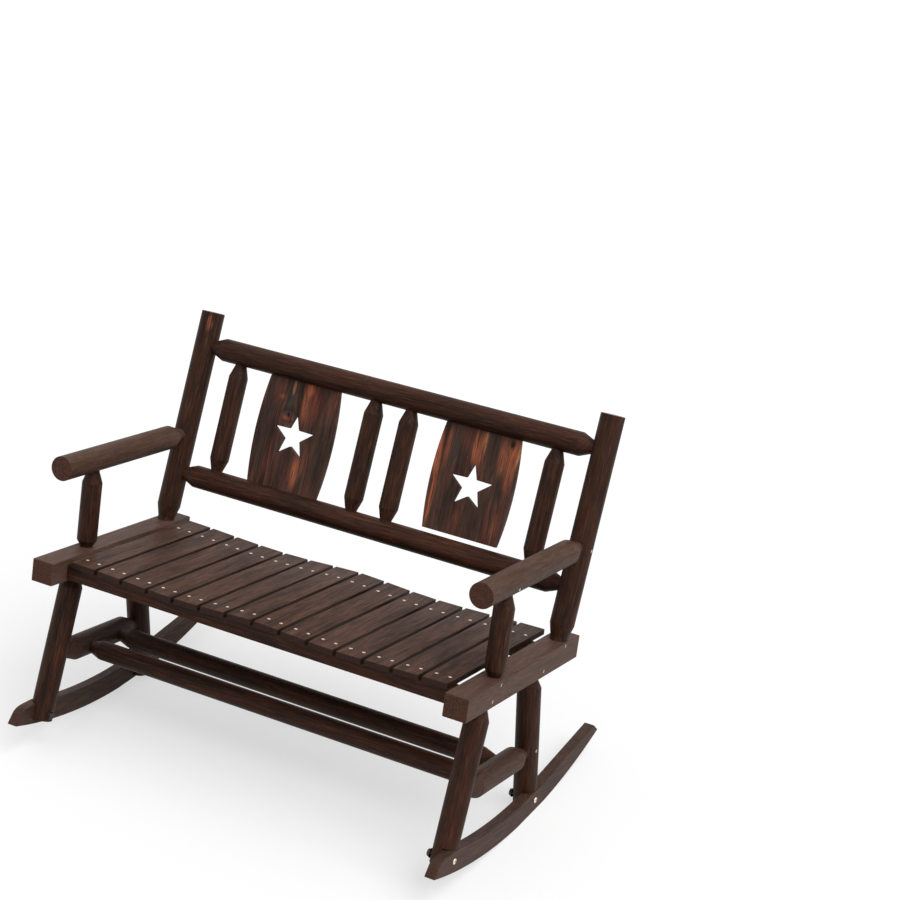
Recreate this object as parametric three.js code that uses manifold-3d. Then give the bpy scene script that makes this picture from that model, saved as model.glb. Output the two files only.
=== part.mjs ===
import * as THREE from 'three';
import { mergeVertices } from 'three/addons/utils/BufferGeometryUtils.js';
import Module from 'manifold-3d';

// Rocking bench of carbonised fir logs, in millimetres.
// It is laid out with its beams level: x runs across it, y from the front to the back, and z up from the
// beams' top faces. The beams' front ends are at y = 0. At the end it is leaned back until it rests.
// Left and right are as seen from the front.

const wasm = await Module();
wasm.setup();

// Fits
const fitGap = 0.3;
const overrun = 6;
const mergeTolerance = 0.0005;

// Side beams
const benchWidth = 1240;
const beamWidth = 63;
const beamHeight = 59;
const beamLength = 599;
const beamChamfer = 4;

// Seat slats
const seatSideGap = 19;
const slatWidth = 68;
const slatGap = 9.4;
const slatThickness = 15;
const slatLength = 517;
const slatFrontY = 50.5;
const slatChamfer = 2;
const slatProud = 0.5;
const seatDip = 8.8;
const seatLowShare = 0.43;
const seatRoundPower = 0.85;

// Cross rails under the slats
const crossRailThickness = 42;
const crossRailFrontY = 61;
const crossRailRearY = 463;
const crossRailDepth = 54;
const crossTenonLength = 15;
const crossTenonShoulder = 7;

// Pencil points: every log end narrows to a tip, and the tip runs on as a tenon in its socket
const postPoint = { tip: 44, taper: 32, tenon: 25 };
const legPoint = { tip: 34.6, taper: 33, tenon: 25 };
const railPoint = { tip: 34.6, taper: 32, tenon: 26 };
const thinPoint = { tip: 31, taper: 31, tenon: 20 };
const armPostFoot = { tip: 30.5, taper: 17.5, tenon: 25 };
const armPostHead = { tip: 32, taper: 29.5, tenon: 30 };
const armPoint = { tip: 31, taper: 44, tenon: 22 };
const sidePoint = { tip: 32, taper: 40, tenon: 20 };

// Back, measured up its slope from the beams' top faces
const postDiameter = 62;
const postSetOut = 3;
const postFootY = 532.5;
const postLength = 569;
const backLean = THREE.MathUtils.degToRad(12.8);
const upperRailHeight = 479.5;
const upperRailDiameter = 61;
const lowerRailHeight = 132;
const lowerRailDiameter = 60;
const spindleDiameter = 51;
const spindleSetIn = 121.1;
const spindleInnerX = 52.2;

// Panels with a star
const panelSetOut = 3.7;
const panelThickness = 12;
const panelWaist = 234.4;
const panelEndWidth = 212;
const panelTongue = 12;
const rightPanelLift = 11;
const starHeight = 303.8;
const starPoints = 5;
const starRadius = 61.8;
const starInnerShare = 0.408;
const starSetLeft = 2.3;

// Arms
const armDiameter = 63;
const armHeight = 232;
const armFrontY = 45.3;
const armPostDiameter = 51.8;
const armPostY = 180.3;

// Legs and stretchers
const legDiameter = 60;
const frontLegY = 134;
const frontLegLean = THREE.MathUtils.degToRad(12.7);
const rearLegY = 395.8;
const rearLegLean = THREE.MathUtils.degToRad(13.7);
const legEndLift = 12;
const stretcherDrop = 274;
const sideStretcherDiameter = 62.5;
const longStretcherDiameter = 50.5;
const longStretcherFrontY = 204;
const longStretcherRearY = 329;

// Rockers: the lower edge is an arc, and reaches are measured from the arc's lowest point
const rockerRadius = 1318;
const rockerLowY = 231.8;
const beamTopHeight = 463.1;
const rockerDepth = 57.5;
const rockerThickness = 28;
const rockerNoseReach = 278;
const rockerNoseFlatReach = 187;
const rockerNoseRise = 38;
const rockerNoseBack = 26;
const noseRoundShare = 0.4;
const rockerStraightReach = 310;
const rockerTailReach = 592;
const rockerTailCut = 29;

// Resting attitude: the bench leans back until its weight is above the flat worn under its rockers
const recline = THREE.MathUtils.degToRad(10);
const restFlatLength = 140;

// Bolts through rockers and legs
const boltDiameter = 8;
const boltHeadDiameter = 15;
const boltHeadHeight = 4;
const boltRise = 20;
const boltForward = 6;
const nutDiameter = 19;
const nutThickness = 6.5;
const washerDiameter = 24;
const washerThickness = 1.6;

// Locking screws, each driven in from outside through a wall into a tenon
const screwDiameter = 4.4;
const screwHeadDiameter = 9;
const screwHeadDepth = 3;
const screwLength = 32;
const frontLegScrew = { forward: 5, drop: 43.8 };
const rearLegScrew = { forward: -14, drop: 43.4 };
const armPostScrew = { forward: 12, drop: 11.7 };
const backPostScrew = { forward: 11.5, drop: 7.7 };
const armScrew = { forward: -8, drop: 10 };

// Facets round a log, a screw or nut, and along an arc
const logSides = 20;
const screwSides = 10;
const nutSides = 6;
const arcSteps = 24;

// Places worked out from the sizes above
const outerX = benchWidth / 2;
const beamX = outerX - beamWidth / 2;
const beamInnerX = outerX - beamWidth;
const postX = beamX + postSetOut;
const spindleOuterX = postX - spindleSetIn;
const panelX = (spindleOuterX + spindleInnerX) / 2 + panelSetOut;
const slatCount = Math.floor((2 * (beamInnerX - seatSideGap) + slatGap) / (slatWidth + slatGap));
const seatHalfWidth = (slatCount * slatWidth + (slatCount - 1) * slatGap) / 2;
const rockerInnerX = outerX - rockerThickness;
const rockerCentreZ = rockerRadius - beamTopHeight;

// Colours
const logBrown = 0x4a2f24;
const boardBrown = 0x57463d;
const starBrown = 0x6b3a24;
const brassYellow = 0xb08d4a;
const steelGrey = 0x5b5853;

function wood(color) {
  return new THREE.MeshStandardMaterial({ color, roughness: 0.72, metalness: 0 });
}

function metal(color) {
  return new THREE.MeshStandardMaterial({ color, roughness: 0.35, metalness: 1 });
}

// A closed geometry as a solid that can be cut: shared corners are merged and slivers at poles dropped.
function solidOf(geometry) {
  const bare = geometry.clone();
  bare.deleteAttribute('normal');
  bare.deleteAttribute('uv');
  const merged = mergeVertices(bare, mergeTolerance);
  const corners = merged.index.array;
  const triVerts = [];
  for (let i = 0; i < corners.length; i += 3) {
    const [a, b, c] = [corners[i], corners[i + 1], corners[i + 2]];
    if (a !== b && b !== c && c !== a) triVerts.push(a, b, c);
  }
  const vertProperties = Float32Array.from(merged.attributes.position.array);
  const mesh = new wasm.Mesh({ numProp: 3, vertProperties, triVerts: Uint32Array.from(triVerts) });
  return new wasm.Manifold(mesh);
}

function geometryOf(solid) {
  const mesh = solid.getMesh();
  const geometry = new THREE.BufferGeometry();
  geometry.setAttribute('position', new THREE.BufferAttribute(mesh.vertProperties, 3));
  geometry.setIndex(new THREE.BufferAttribute(mesh.triVerts, 1));
  geometry.computeVertexNormals();
  return geometry;
}

// A tool's geometry as it lies in a piece's own frame, while both stand in the bench.
function inFrameOf(piece, tool) {
  piece.updateWorldMatrix(true, false);
  tool.updateWorldMatrix(true, false);
  const toPiece = piece.matrixWorld.clone().invert().multiply(tool.matrixWorld);
  return tool.geometry.clone().applyMatrix4(toPiece);
}

function carve(piece, ...tools) {
  let solid = solidOf(piece.geometry);
  for (const tool of tools) solid = solid.subtract(solidOf(inFrameOf(piece, tool)));
  piece.geometry = geometryOf(solid);
}

const bench = new THREE.Group();
const back = new THREE.Group();
back.position.set(0, postFootY, 0);
back.rotation.x = -backLean;
bench.add(back);

function addPiece(name, geometry, material, parent = bench) {
  const piece = new THREE.Mesh(geometry, material);
  piece.name = name;
  parent.add(piece);
  return piece;
}

// A turned solid about its own z axis, from radii and heights that start and end on the axis.
function turned(profile, sides) {
  const points = profile.map(([radius, height]) => new THREE.Vector2(radius, height));
  return new THREE.LatheGeometry(points, sides).rotateX(Math.PI / 2);
}

// A log along z. Its length is between its sawn ends or the tips of its points, and tenons go past it.
function logGeometry(diameter, length, foot, head) {
  const radius = diameter / 2;
  const profile = [];
  if (foot) {
    const tip = foot.tip / 2;
    profile.push([0, -foot.tenon], [tip, -foot.tenon], [tip, 0], [radius, foot.taper]);
  } else {
    profile.push([0, 0], [radius, 0]);
  }
  if (head) {
    const tip = head.tip / 2;
    const tenonEnd = length + head.tenon;
    profile.push([radius, length - head.taper], [tip, length], [tip, tenonEnd], [0, tenonEnd]);
  } else {
    profile.push([radius, length], [0, length]);
  }
  return turned(profile, logSides);
}

// The drill that makes a point's socket, set on the log whose end it is. An end of 0 is the foot.
function socketTool(log, point, end, length) {
  const radius = point.tip / 2 + fitGap;
  const depth = point.tenon + fitGap;
  const [low, high] = end === 0 ? [-depth, overrun] : [length - overrun, length + depth];
  const tool = new THREE.Mesh(turned([[0, low], [radius, low], [radius, high], [0, high]], logSides));
  log.add(tool);
  tool.updateWorldMatrix(true, false);
  log.remove(tool);
  return new THREE.Mesh(tool.geometry.applyMatrix4(tool.matrixWorld));
}

// How far a point's tip stops short of a surface that leans away from square by an angle.
function tipLift(point, lean) {
  return (point.tip / 2) * Math.tan(Math.abs(lean)) + fitGap;
}

// Turns a flat shape drawn in y and z into a board that is as thick along x.
function boardAcross(shape, thickness) {
  const settings = { depth: thickness, bevelEnabled: false, curveSegments: arcSteps };
  const board = new THREE.ExtrudeGeometry(shape, settings);
  const yToX = new THREE.Matrix4().makeBasis(
    new THREE.Vector3(0, 1, 0),
    new THREE.Vector3(0, 0, 1),
    new THREE.Vector3(1, 0, 0),
  );
  return board.applyMatrix4(yToX).translate(-thickness / 2, 0, 0);
}

// Turns a flat shape drawn in x and z into a piece that runs back along y.
function boardBack(shape, length) {
  const settings = { depth: length, bevelEnabled: false, curveSegments: arcSteps };
  const board = new THREE.ExtrudeGeometry(shape, settings);
  return board.rotateX(Math.PI / 2).translate(0, length, 0);
}

// A rectangle with cut corners, from its lowest to its highest corner.
function chamferedRectangle(left, low, right, high, cut) {
  const shape = new THREE.Shape();
  shape.moveTo(left + cut, low);
  shape.lineTo(right - cut, low);
  shape.lineTo(right, low + cut);
  shape.lineTo(right, high - cut);
  shape.lineTo(right - cut, high);
  shape.lineTo(left + cut, high);
  shape.lineTo(left, high - cut);
  shape.lineTo(left, low + cut);
  shape.closePath();
  return shape;
}

// How far a line from a point in the y and z plane runs until it leaves a circle about the rockers' centre.
function reachOfCircle(point, direction, radius) {
  const offset = point.clone().sub(new THREE.Vector2(rockerLowY, rockerCentreZ));
  const along = offset.dot(direction);
  return -along + Math.sqrt(along ** 2 - offset.lengthSq() + radius ** 2);
}

// Seat: the height of the slats' tops dips in two shallow scoops, one for each sitter
function seatTop(x) {
  const lowX = seatLowShare * seatHalfWidth;
  const across = Math.min(Math.abs(x), seatHalfWidth);
  const share = across < lowX ? across / lowX : (seatHalfWidth - across) / (seatHalfWidth - lowX);
  return slatProud - seatDip * Math.sin((Math.PI / 2) * share ** seatRoundPower) ** 2;
}

function slatPlace(index) {
  const x = -seatHalfWidth + slatWidth / 2 + index * (slatWidth + slatGap);
  const left = seatTop(x - slatWidth / 2);
  const right = seatTop(x + slatWidth / 2);
  return { x, z: (left + right) / 2, tilt: Math.atan2(right - left, slatWidth) };
}

function addSlats() {
  const section = chamferedRectangle(-slatWidth / 2, -slatThickness, slatWidth / 2, 0, slatChamfer);
  for (let i = 0; i < slatCount; i += 1) {
    const place = slatPlace(i);
    const name = `slat_${String(i + 1).padStart(2, '0')}`;
    const slat = addPiece(name, boardBack(section, slatLength), wood(boardBrown));
    slat.position.set(place.x, slatFrontY, place.z);
    slat.rotation.y = -place.tilt;
  }
}

// A cross rail's top follows the undersides of the slats, and its ends are tenons in the beams.
function crossRailShape() {
  const shoulderX = beamInnerX - fitGap;
  const tenonX = beamInnerX + crossTenonLength;
  const top = [];
  for (let i = 0; i < slatCount; i += 1) {
    const { x, z, tilt } = slatPlace(i);
    const under = slatThickness + fitGap;
    for (const across of [-slatWidth / 2, slatWidth / 2]) {
      const cornerX = x + across * Math.cos(tilt) + under * Math.sin(tilt);
      const cornerZ = z + across * Math.sin(tilt) - under * Math.cos(tilt);
      top.push([cornerX, cornerZ]);
    }
  }
  const endTop = top[0][1];
  const shape = new THREE.Shape();
  shape.moveTo(-shoulderX, -crossRailDepth);
  shape.lineTo(shoulderX, -crossRailDepth);
  shape.lineTo(shoulderX, -crossRailDepth + crossTenonShoulder);
  shape.lineTo(tenonX, -crossRailDepth + crossTenonShoulder);
  shape.lineTo(tenonX, endTop - crossTenonShoulder);
  shape.lineTo(shoulderX, endTop - crossTenonShoulder);
  shape.lineTo(shoulderX, endTop);
  for (const [x, z] of top.reverse()) shape.lineTo(x, z);
  shape.lineTo(-shoulderX, endTop);
  shape.lineTo(-shoulderX, endTop - crossTenonShoulder);
  shape.lineTo(-tenonX, endTop - crossTenonShoulder);
  shape.lineTo(-tenonX, -crossRailDepth + crossTenonShoulder);
  shape.lineTo(-shoulderX, -crossRailDepth + crossTenonShoulder);
  shape.closePath();
  return shape;
}

// The chisel for one cross rail's mortises, cut right across both beams' inner faces.
function mortiseTool(frontY) {
  const low = -crossRailDepth + crossTenonShoulder - fitGap;
  const high = seatTop(seatHalfWidth) - slatThickness - crossTenonShoulder;
  const reach = 2 * (beamInnerX + crossTenonLength + fitGap);
  const tool = new THREE.Mesh(new THREE.BoxGeometry(reach, crossRailThickness + 2 * fitGap, high - low));
  tool.position.set(0, frontY + crossRailThickness / 2, (low + high) / 2);
  return tool;
}

function addCrossRail(name, frontY) {
  const rail = addPiece(name, boardBack(crossRailShape(), crossRailThickness), wood(boardBrown));
  rail.position.y = frontY;
}

// The outline of a rocker in y and z about its arc's centre. Its lower edge has a flat where it rests.
function rockerShape() {
  const down = -Math.PI / 2;
  const innerRadius = rockerRadius - rockerDepth;
  const flatHalf = Math.asin(restFlatLength / 2 / rockerRadius);
  const flatAngle = down + recline;
  const noseAngle = down - Math.asin(rockerNoseReach / rockerRadius);
  const tailAngle = down + Math.asin(rockerTailReach / rockerRadius);
  const noseTopAngle = down - Math.asin(rockerNoseFlatReach / innerRadius);
  const straightAngle = down + Math.asin(rockerStraightReach / innerRadius);
  const tip = new THREE.Vector2(-rockerNoseReach, rockerRadius * Math.sin(noseAngle));
  const corner = new THREE.Vector2(tip.x + rockerNoseBack, tip.y + rockerNoseRise);
  const noseTop = new THREE.Vector2(-rockerNoseFlatReach, innerRadius * Math.sin(noseTopAngle));
  const faceEnd = corner.clone().lerp(tip, noseRoundShare);
  const roundEnd = corner.clone().lerp(noseTop, noseRoundShare);
  const tailTopY = rockerTailReach - rockerTailCut;
  const straightRise = (tailTopY - rockerStraightReach) * Math.tan(straightAngle - down);
  const tailTopZ = innerRadius * Math.sin(straightAngle) + straightRise;
  const shape = new THREE.Shape();
  shape.absarc(0, 0, rockerRadius, tailAngle, flatAngle + flatHalf, true);
  shape.absarc(0, 0, rockerRadius, flatAngle - flatHalf, noseAngle, true);
  shape.lineTo(faceEnd.x, faceEnd.y);
  shape.quadraticCurveTo(corner.x, corner.y, roundEnd.x, roundEnd.y);
  shape.lineTo(noseTop.x, noseTop.y);
  shape.absarc(0, 0, innerRadius, noseTopAngle, straightAngle, false);
  shape.lineTo(tailTopY, tailTopZ);
  shape.closePath();
  return shape;
}

// The saw cut that laps a leg onto a rocker: all that lies outside the rocker's inner face, from the
// rocker's top edge down.
function lapTool(side) {
  const innerRadius = rockerRadius - rockerDepth - fitGap;
  const outerRadius = rockerRadius + legDiameter;
  const sweep = Math.asin(rockerTailReach / rockerRadius);
  const down = -Math.PI / 2;
  const shape = new THREE.Shape();
  shape.absarc(0, 0, outerRadius, down - sweep, down + sweep, false);
  shape.absarc(0, 0, innerRadius, down + sweep, down - sweep, true);
  shape.closePath();
  const width = legDiameter;
  const tool = new THREE.Mesh(boardAcross(shape, width));
  tool.position.set(side * (rockerInnerX - fitGap + width / 2), rockerLowY, rockerCentreZ);
  return tool;
}

// Screws and bolts point along x, with the head outside. The side is -1 on the left and 1 on the right.
function outwards(geometry, side) {
  return geometry.rotateY((side * Math.PI) / 2);
}

function screwGeometry(clearance, headRise) {
  const shank = screwDiameter / 2 + clearance;
  const head = screwHeadDiameter / 2 + clearance;
  const end = -screwLength - clearance;
  const neck = -screwHeadDepth - clearance;
  const outline = [[0, end], [shank, end], [shank, neck], [head, 0], [head, headRise], [0, headRise]];
  return turned(outline, screwSides);
}

function addScrew(name, side, x, y, z) {
  const screw = addPiece(name, outwards(screwGeometry(0, -fitGap / 2), side), metal(brassYellow));
  screw.position.set(side * x, y, z);
  const tool = new THREE.Mesh(outwards(screwGeometry(fitGap, overrun), side));
  tool.position.copy(screw.position);
  return tool;
}

function boltGeometry(length) {
  const shank = boltDiameter / 2;
  const head = boltHeadDiameter / 2;
  const brow = boltHeadHeight / 2;
  const dome = [[head, fitGap], [head, brow], [head / 2, boltHeadHeight], [0, boltHeadHeight]];
  return turned([[0, -length], [shank, -length], [shank, fitGap], ...dome], logSides);
}

function nutGeometry() {
  const bore = boltDiameter / 2 + fitGap;
  const tall = washerThickness + nutThickness;
  const rod = (radius, low, high, sides) => (
    solidOf(turned([[0, low], [radius, low], [radius, high], [0, high]], sides))
  );
  const washer = rod(washerDiameter / 2, 0, washerThickness, logSides);
  const nut = rod(nutDiameter / 2, washerThickness / 2, tall, nutSides);
  const drill = rod(bore, -overrun, tall + overrun, logSides);
  return geometryOf(washer.add(nut).subtract(drill));
}

function addBolt(place, side, y, z) {
  const tall = washerThickness + nutThickness;
  const nutX = beamX - legDiameter / 2 - fitGap;
  const length = outerX - nutX + tall;
  const bolt = addPiece(`rocker_bolt_${place}`, outwards(boltGeometry(length), side), metal(brassYellow));
  bolt.position.set(side * outerX, y, z);
  const nut = addPiece(`rocker_nut_${place}`, outwards(nutGeometry(), -side), metal(steelGrey));
  nut.position.set(side * nutX, y, z);
  const radius = boltDiameter / 2 + fitGap;
  const reach = legDiameter + rockerThickness;
  const bore = turned([[0, -reach], [radius, -reach], [radius, overrun], [0, overrun]], logSides);
  const drill = new THREE.Mesh(outwards(bore, side));
  drill.position.copy(bolt.position);
  return drill;
}

// A leg hangs from the beam's underside. Its foot is ahead of its top when its lean is over 0.
function addLeg(place, side, topY, lean) {
  const lift = tipLift(legPoint, lean);
  const direction = new THREE.Vector2(-Math.sin(lean), -Math.cos(lean));
  const top = new THREE.Vector2(topY, -beamHeight).addScaledVector(direction, lift);
  const length = reachOfCircle(top, direction, rockerRadius - legEndLift);
  const foot = top.clone().addScaledVector(direction, length);
  const leg = addPiece(`leg_${place}`, logGeometry(legDiameter, length, null, legPoint), wood(logBrown));
  leg.position.set(side * beamX, foot.x, foot.y);
  leg.rotation.x = -lean;
  const boltY = foot.x + boltRise * Math.sin(lean) - boltForward;
  const boltZ = foot.y + boltRise * Math.cos(lean);
  return { leg, socket: socketTool(leg, legPoint, 1, length), boltY, boltZ };
}

// The y of a leg's axis at a drop below the beams' top faces.
function legAxisY(topY, lean, drop) {
  return topY - (drop - beamHeight) * Math.tan(lean);
}

function addSideStretcher(name, side) {
  const half = legDiameter / 2;
  const startY = legAxisY(frontLegY, frontLegLean, stretcherDrop) + half / Math.cos(frontLegLean);
  const endY = legAxisY(rearLegY, -rearLegLean, stretcherDrop) - half / Math.cos(rearLegLean);
  const startLift = tipLift(sidePoint, frontLegLean);
  const length = endY - tipLift(sidePoint, rearLegLean) - startY - startLift;
  const geometry = logGeometry(sideStretcherDiameter, length, sidePoint, sidePoint);
  const stretcher = addPiece(name, geometry, wood(logBrown));
  stretcher.position.set(side * beamX, startY + startLift, -stretcherDrop);
  stretcher.rotation.x = -Math.PI / 2;
  const sockets = [0, 1].map((end) => socketTool(stretcher, sidePoint, end, length));
  return { stretcher, sockets };
}

// A log that lies across the bench between two tips at plus and minus an x.
function addCrossLog(name, diameter, point, tipX, parent, y, z) {
  const length = 2 * tipX;
  const log = addPiece(name, logGeometry(diameter, length, point, point), wood(logBrown), parent);
  log.position.set(-tipX, y, z);
  log.rotation.y = Math.PI / 2;
  const sockets = { left: socketTool(log, point, 0, length), right: socketTool(log, point, 1, length) };
  return { log, sockets };
}

// A panel's outline in x and z: straight tongues in the rails, and sides that swell in between.
function panelShape(low, lowTongue, high) {
  const half = panelEndWidth / 2;
  const [foot, top] = [low + lowTongue, high - panelTongue];
  const pull = panelWaist - half;
  const shape = new THREE.Shape();
  shape.moveTo(-half, low);
  shape.lineTo(half, low);
  shape.lineTo(half, foot);
  shape.quadraticCurveTo(pull, (foot + top) / 2, half, top);
  shape.lineTo(half, high);
  shape.lineTo(-half, high);
  shape.lineTo(-half, top);
  shape.quadraticCurveTo(-pull, (foot + top) / 2, -half, foot);
  shape.closePath();
  const star = new THREE.Path();
  for (let i = 0; i < 2 * starPoints; i += 1) {
    const angle = Math.PI / 2 + (i * Math.PI) / starPoints;
    const radius = i % 2 === 0 ? starRadius : starRadius * starInnerShare;
    const [x, z] = [radius * Math.cos(angle) - starSetLeft, starHeight + radius * Math.sin(angle)];
    if (i === 0) star.moveTo(x, z);
    else star.lineTo(x, z);
  }
  star.closePath();
  shape.holes.push(star);
  return shape;
}

// The chisel for a panel's slot in a back rail, between two heights up the slope.
function slotTool(x, low, high) {
  const width = panelEndWidth + 2 * fitGap;
  const slot = new THREE.BoxGeometry(width, panelThickness + 2 * fitGap, high - low);
  slot.translate(x, 0, (low + high) / 2).applyMatrix4(back.matrixWorld);
  return new THREE.Mesh(slot);
}

function addPanel(place, x, lowTongue, lift) {
  const low = lowerRailHeight + lowerRailDiameter / 2 - lowTongue + lift;
  const high = upperRailHeight - upperRailDiameter / 2 + panelTongue;
  const shape = panelShape(low, lowTongue, high);
  const panel = addPiece(`star_panel_${place}`, boardBack(shape, panelThickness), wood(starBrown), back);
  panel.position.set(x, -panelThickness / 2, 0);
}

function addBack() {
  back.updateWorldMatrix(true, false);
  const tipX = postX - postDiameter / 2 - fitGap;
  const lowerTop = lowerRailHeight + lowerRailDiameter / 2;
  const upperUnder = upperRailHeight - upperRailDiameter / 2;
  const addRail = (name, diameter, height) => (
    addCrossLog(name, diameter, railPoint, tipX, back, 0, height)
  );
  const upper = addRail('back_rail_upper', upperRailDiameter, upperRailHeight);
  const lower = addRail('back_rail_lower', lowerRailDiameter, lowerRailHeight);
  const spindleLength = upperUnder - lowerTop - 2 * fitGap;
  const spindleXs = [-spindleOuterX, -spindleInnerX, spindleInnerX, spindleOuterX];
  const upperTools = [];
  const lowerTools = [];
  spindleXs.forEach((x, index) => {
    const geometry = logGeometry(spindleDiameter, spindleLength, thinPoint, thinPoint);
    const spindle = addPiece(`spindle_${index + 1}`, geometry, wood(logBrown), back);
    spindle.position.set(x, 0, lowerTop + fitGap);
    lowerTools.push(socketTool(spindle, thinPoint, 0, spindleLength));
    upperTools.push(socketTool(spindle, thinPoint, 1, spindleLength));
  });
  addPanel('left', -panelX, panelTongue, 0);
  addPanel('right', panelX, 0, rightPanelLift);
  for (const x of [-panelX, panelX]) {
    upperTools.push(slotTool(x, upperUnder - overrun, upperUnder + panelTongue + fitGap));
    lowerTools.push(slotTool(x, lowerTop - panelTongue - fitGap, lowerTop + overrun));
  }
  carve(upper.log, ...upperTools);
  carve(lower.log, ...lowerTools);
  return {
    left: [upper.sockets.left, lower.sockets.left],
    right: [upper.sockets.right, lower.sockets.right],
  };
}

function addBackPost(place, side) {
  const lift = tipLift(postPoint, backLean);
  const length = postLength - lift;
  const geometry = logGeometry(postDiameter, length, postPoint, null);
  const post = addPiece(`back_post_${place}`, geometry, wood(logBrown), back);
  post.position.set(side * postX, 0, lift);
  return { post, socket: socketTool(post, postPoint, 0, length) };
}

// An arm runs back to the post's front. Its own post stands under it and lets a tenon into it.
function addArm(place, side) {
  const postFront = postFootY + armHeight * Math.tan(backLean) - postDiameter / 2 / Math.cos(backLean);
  const armLength = postFront - tipLift(armPoint, backLean) - armFrontY;
  const arm = addPiece(`arm_${place}`, logGeometry(armDiameter, armLength, null, armPoint), wood(logBrown));
  arm.position.set(side * postX, armFrontY, armHeight);
  arm.rotation.x = -Math.PI / 2;
  const postTall = armHeight - armDiameter / 2 - 2 * fitGap;
  const postGeometry = logGeometry(armPostDiameter, postTall, armPostFoot, armPostHead);
  const armPost = addPiece(`arm_post_${place}`, postGeometry, wood(logBrown));
  armPost.position.set(side * postX, armPostY, fitGap);
  const half = armDiameter / 2;
  const screwX = postX + Math.sqrt(half ** 2 - armScrew.drop ** 2);
  const screwY = armPostY - armScrew.forward;
  const screwTool = addScrew(`arm_screw_${place}`, side, screwX, screwY, armHeight - armScrew.drop);
  carve(arm, socketTool(armPost, armPostHead, 1, postTall), screwTool);
  return {
    armPost,
    screwTool,
    tenonSocket: socketTool(arm, armPoint, 1, armLength),
    footSocket: socketTool(armPost, armPostFoot, 0, postTall),
  };
}

function addBeam(place, side) {
  const section = chamferedRectangle(-beamWidth / 2, -beamHeight, beamWidth / 2, 0, beamChamfer);
  const beam = addPiece(`beam_${place}`, boardBack(section, beamLength), wood(boardBrown));
  beam.position.x = side * beamX;
  return beam;
}

function addRocker(place, side) {
  const rocker = addPiece(`rocker_${place}`, boardAcross(rockerShape(), rockerThickness), wood(boardBrown));
  rocker.position.set(side * (outerX - rockerThickness / 2), rockerLowY, rockerCentreZ);
  return rocker;
}

// One side of the bench: beam, legs, rocker, arm, post, stretcher, and the metal that locks them.
function addSide(place, side, railSockets) {
  const beam = addBeam(place, side);
  const rocker = addRocker(place, side);
  const front = addLeg(`front_${place}`, side, frontLegY, frontLegLean);
  const rear = addLeg(`rear_${place}`, side, rearLegY, -rearLegLean);
  const { stretcher, sockets } = addSideStretcher(`side_stretcher_${place}`, side);
  const frontDrill = addBolt(`front_${place}`, side, front.boltY, front.boltZ);
  const rearDrill = addBolt(`rear_${place}`, side, rear.boltY, rear.boltZ);
  const { post, socket: postSocket } = addBackPost(place, side);
  const { armPost, screwTool: armScrewTool, tenonSocket, footSocket } = addArm(place, side);
  const screwIn = (name, axisY, { forward, drop }) => (
    addScrew(`${name}_${place}`, side, outerX, axisY - forward, -drop)
  );
  const frontAxis = legAxisY(frontLegY, frontLegLean, frontLegScrew.drop);
  const rearAxis = legAxisY(rearLegY, -rearLegLean, rearLegScrew.drop);
  const postAxis = postFootY - backPostScrew.drop * Math.tan(backLean);
  const frontScrew = screwIn('leg_screw_front', frontAxis, frontLegScrew);
  const rearScrew = screwIn('leg_screw_rear', rearAxis, rearLegScrew);
  const armPostTool = screwIn('arm_post_screw', armPostY, armPostScrew);
  const backPostTool = screwIn('back_post_screw', postAxis, backPostScrew);
  const mortises = [mortiseTool(crossRailFrontY), mortiseTool(crossRailRearY)];
  carve(beam, front.socket, rear.socket, footSocket, postSocket, ...mortises,
    frontScrew, rearScrew, armPostTool, backPostTool);
  carve(front.leg, lapTool(side), frontDrill, sockets[0], frontScrew);
  carve(rear.leg, lapTool(side), rearDrill, sockets[1], rearScrew);
  carve(rocker, frontDrill, rearDrill);
  carve(armPost, armPostTool, armScrewTool);
  carve(post, ...railSockets, tenonSocket, backPostTool);
  return stretcher;
}

function addLongStretchers(leftSide, rightSide) {
  const tipX = beamX - sideStretcherDiameter / 2 - fitGap;
  const places = [
    ['long_stretcher_front', longStretcherFrontY],
    ['long_stretcher_rear', longStretcherRearY],
  ];
  const cuts = places.map(([name, y]) => (
    addCrossLog(name, longStretcherDiameter, thinPoint, tipX, bench, y, -stretcherDrop).sockets
  ));
  carve(leftSide, ...cuts.map(({ left }) => left));
  carve(rightSide, ...cuts.map(({ right }) => right));
}

// Leans the bench back and stands it on the floor, with the origin under the middle of its box.
function standOnFloor() {
  bench.rotation.x = -recline;
  bench.updateMatrixWorld(true);
  const box = new THREE.Box3().setFromObject(bench, true);
  const middle = box.getCenter(new THREE.Vector3());
  bench.position.set(-middle.x, -middle.y, -box.min.z);
}

addSlats();
addCrossRail('cross_rail_front', crossRailFrontY);
addCrossRail('cross_rail_rear', crossRailRearY);
const railSockets = addBack();
const leftStretcher = addSide('left', -1, railSockets.left);
const rightStretcher = addSide('right', 1, railSockets.right);
addLongStretchers(leftStretcher, rightStretcher);
standOnFloor();

const object = new THREE.Group();
object.add(bench);

export default object;
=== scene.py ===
"""Rocking bench of carbonised fir logs, a seat for two.

Lengths are in metres. The bench is laid out with its beams level, as it is joined on a workshop
floor, and one matrix leans it back to where it rests. Left and right are as seen from the front.
"""

import math
import random
from dataclasses import dataclass

import bmesh
import bpy
import numpy as np
from mathutils import Matrix, Vector


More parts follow.
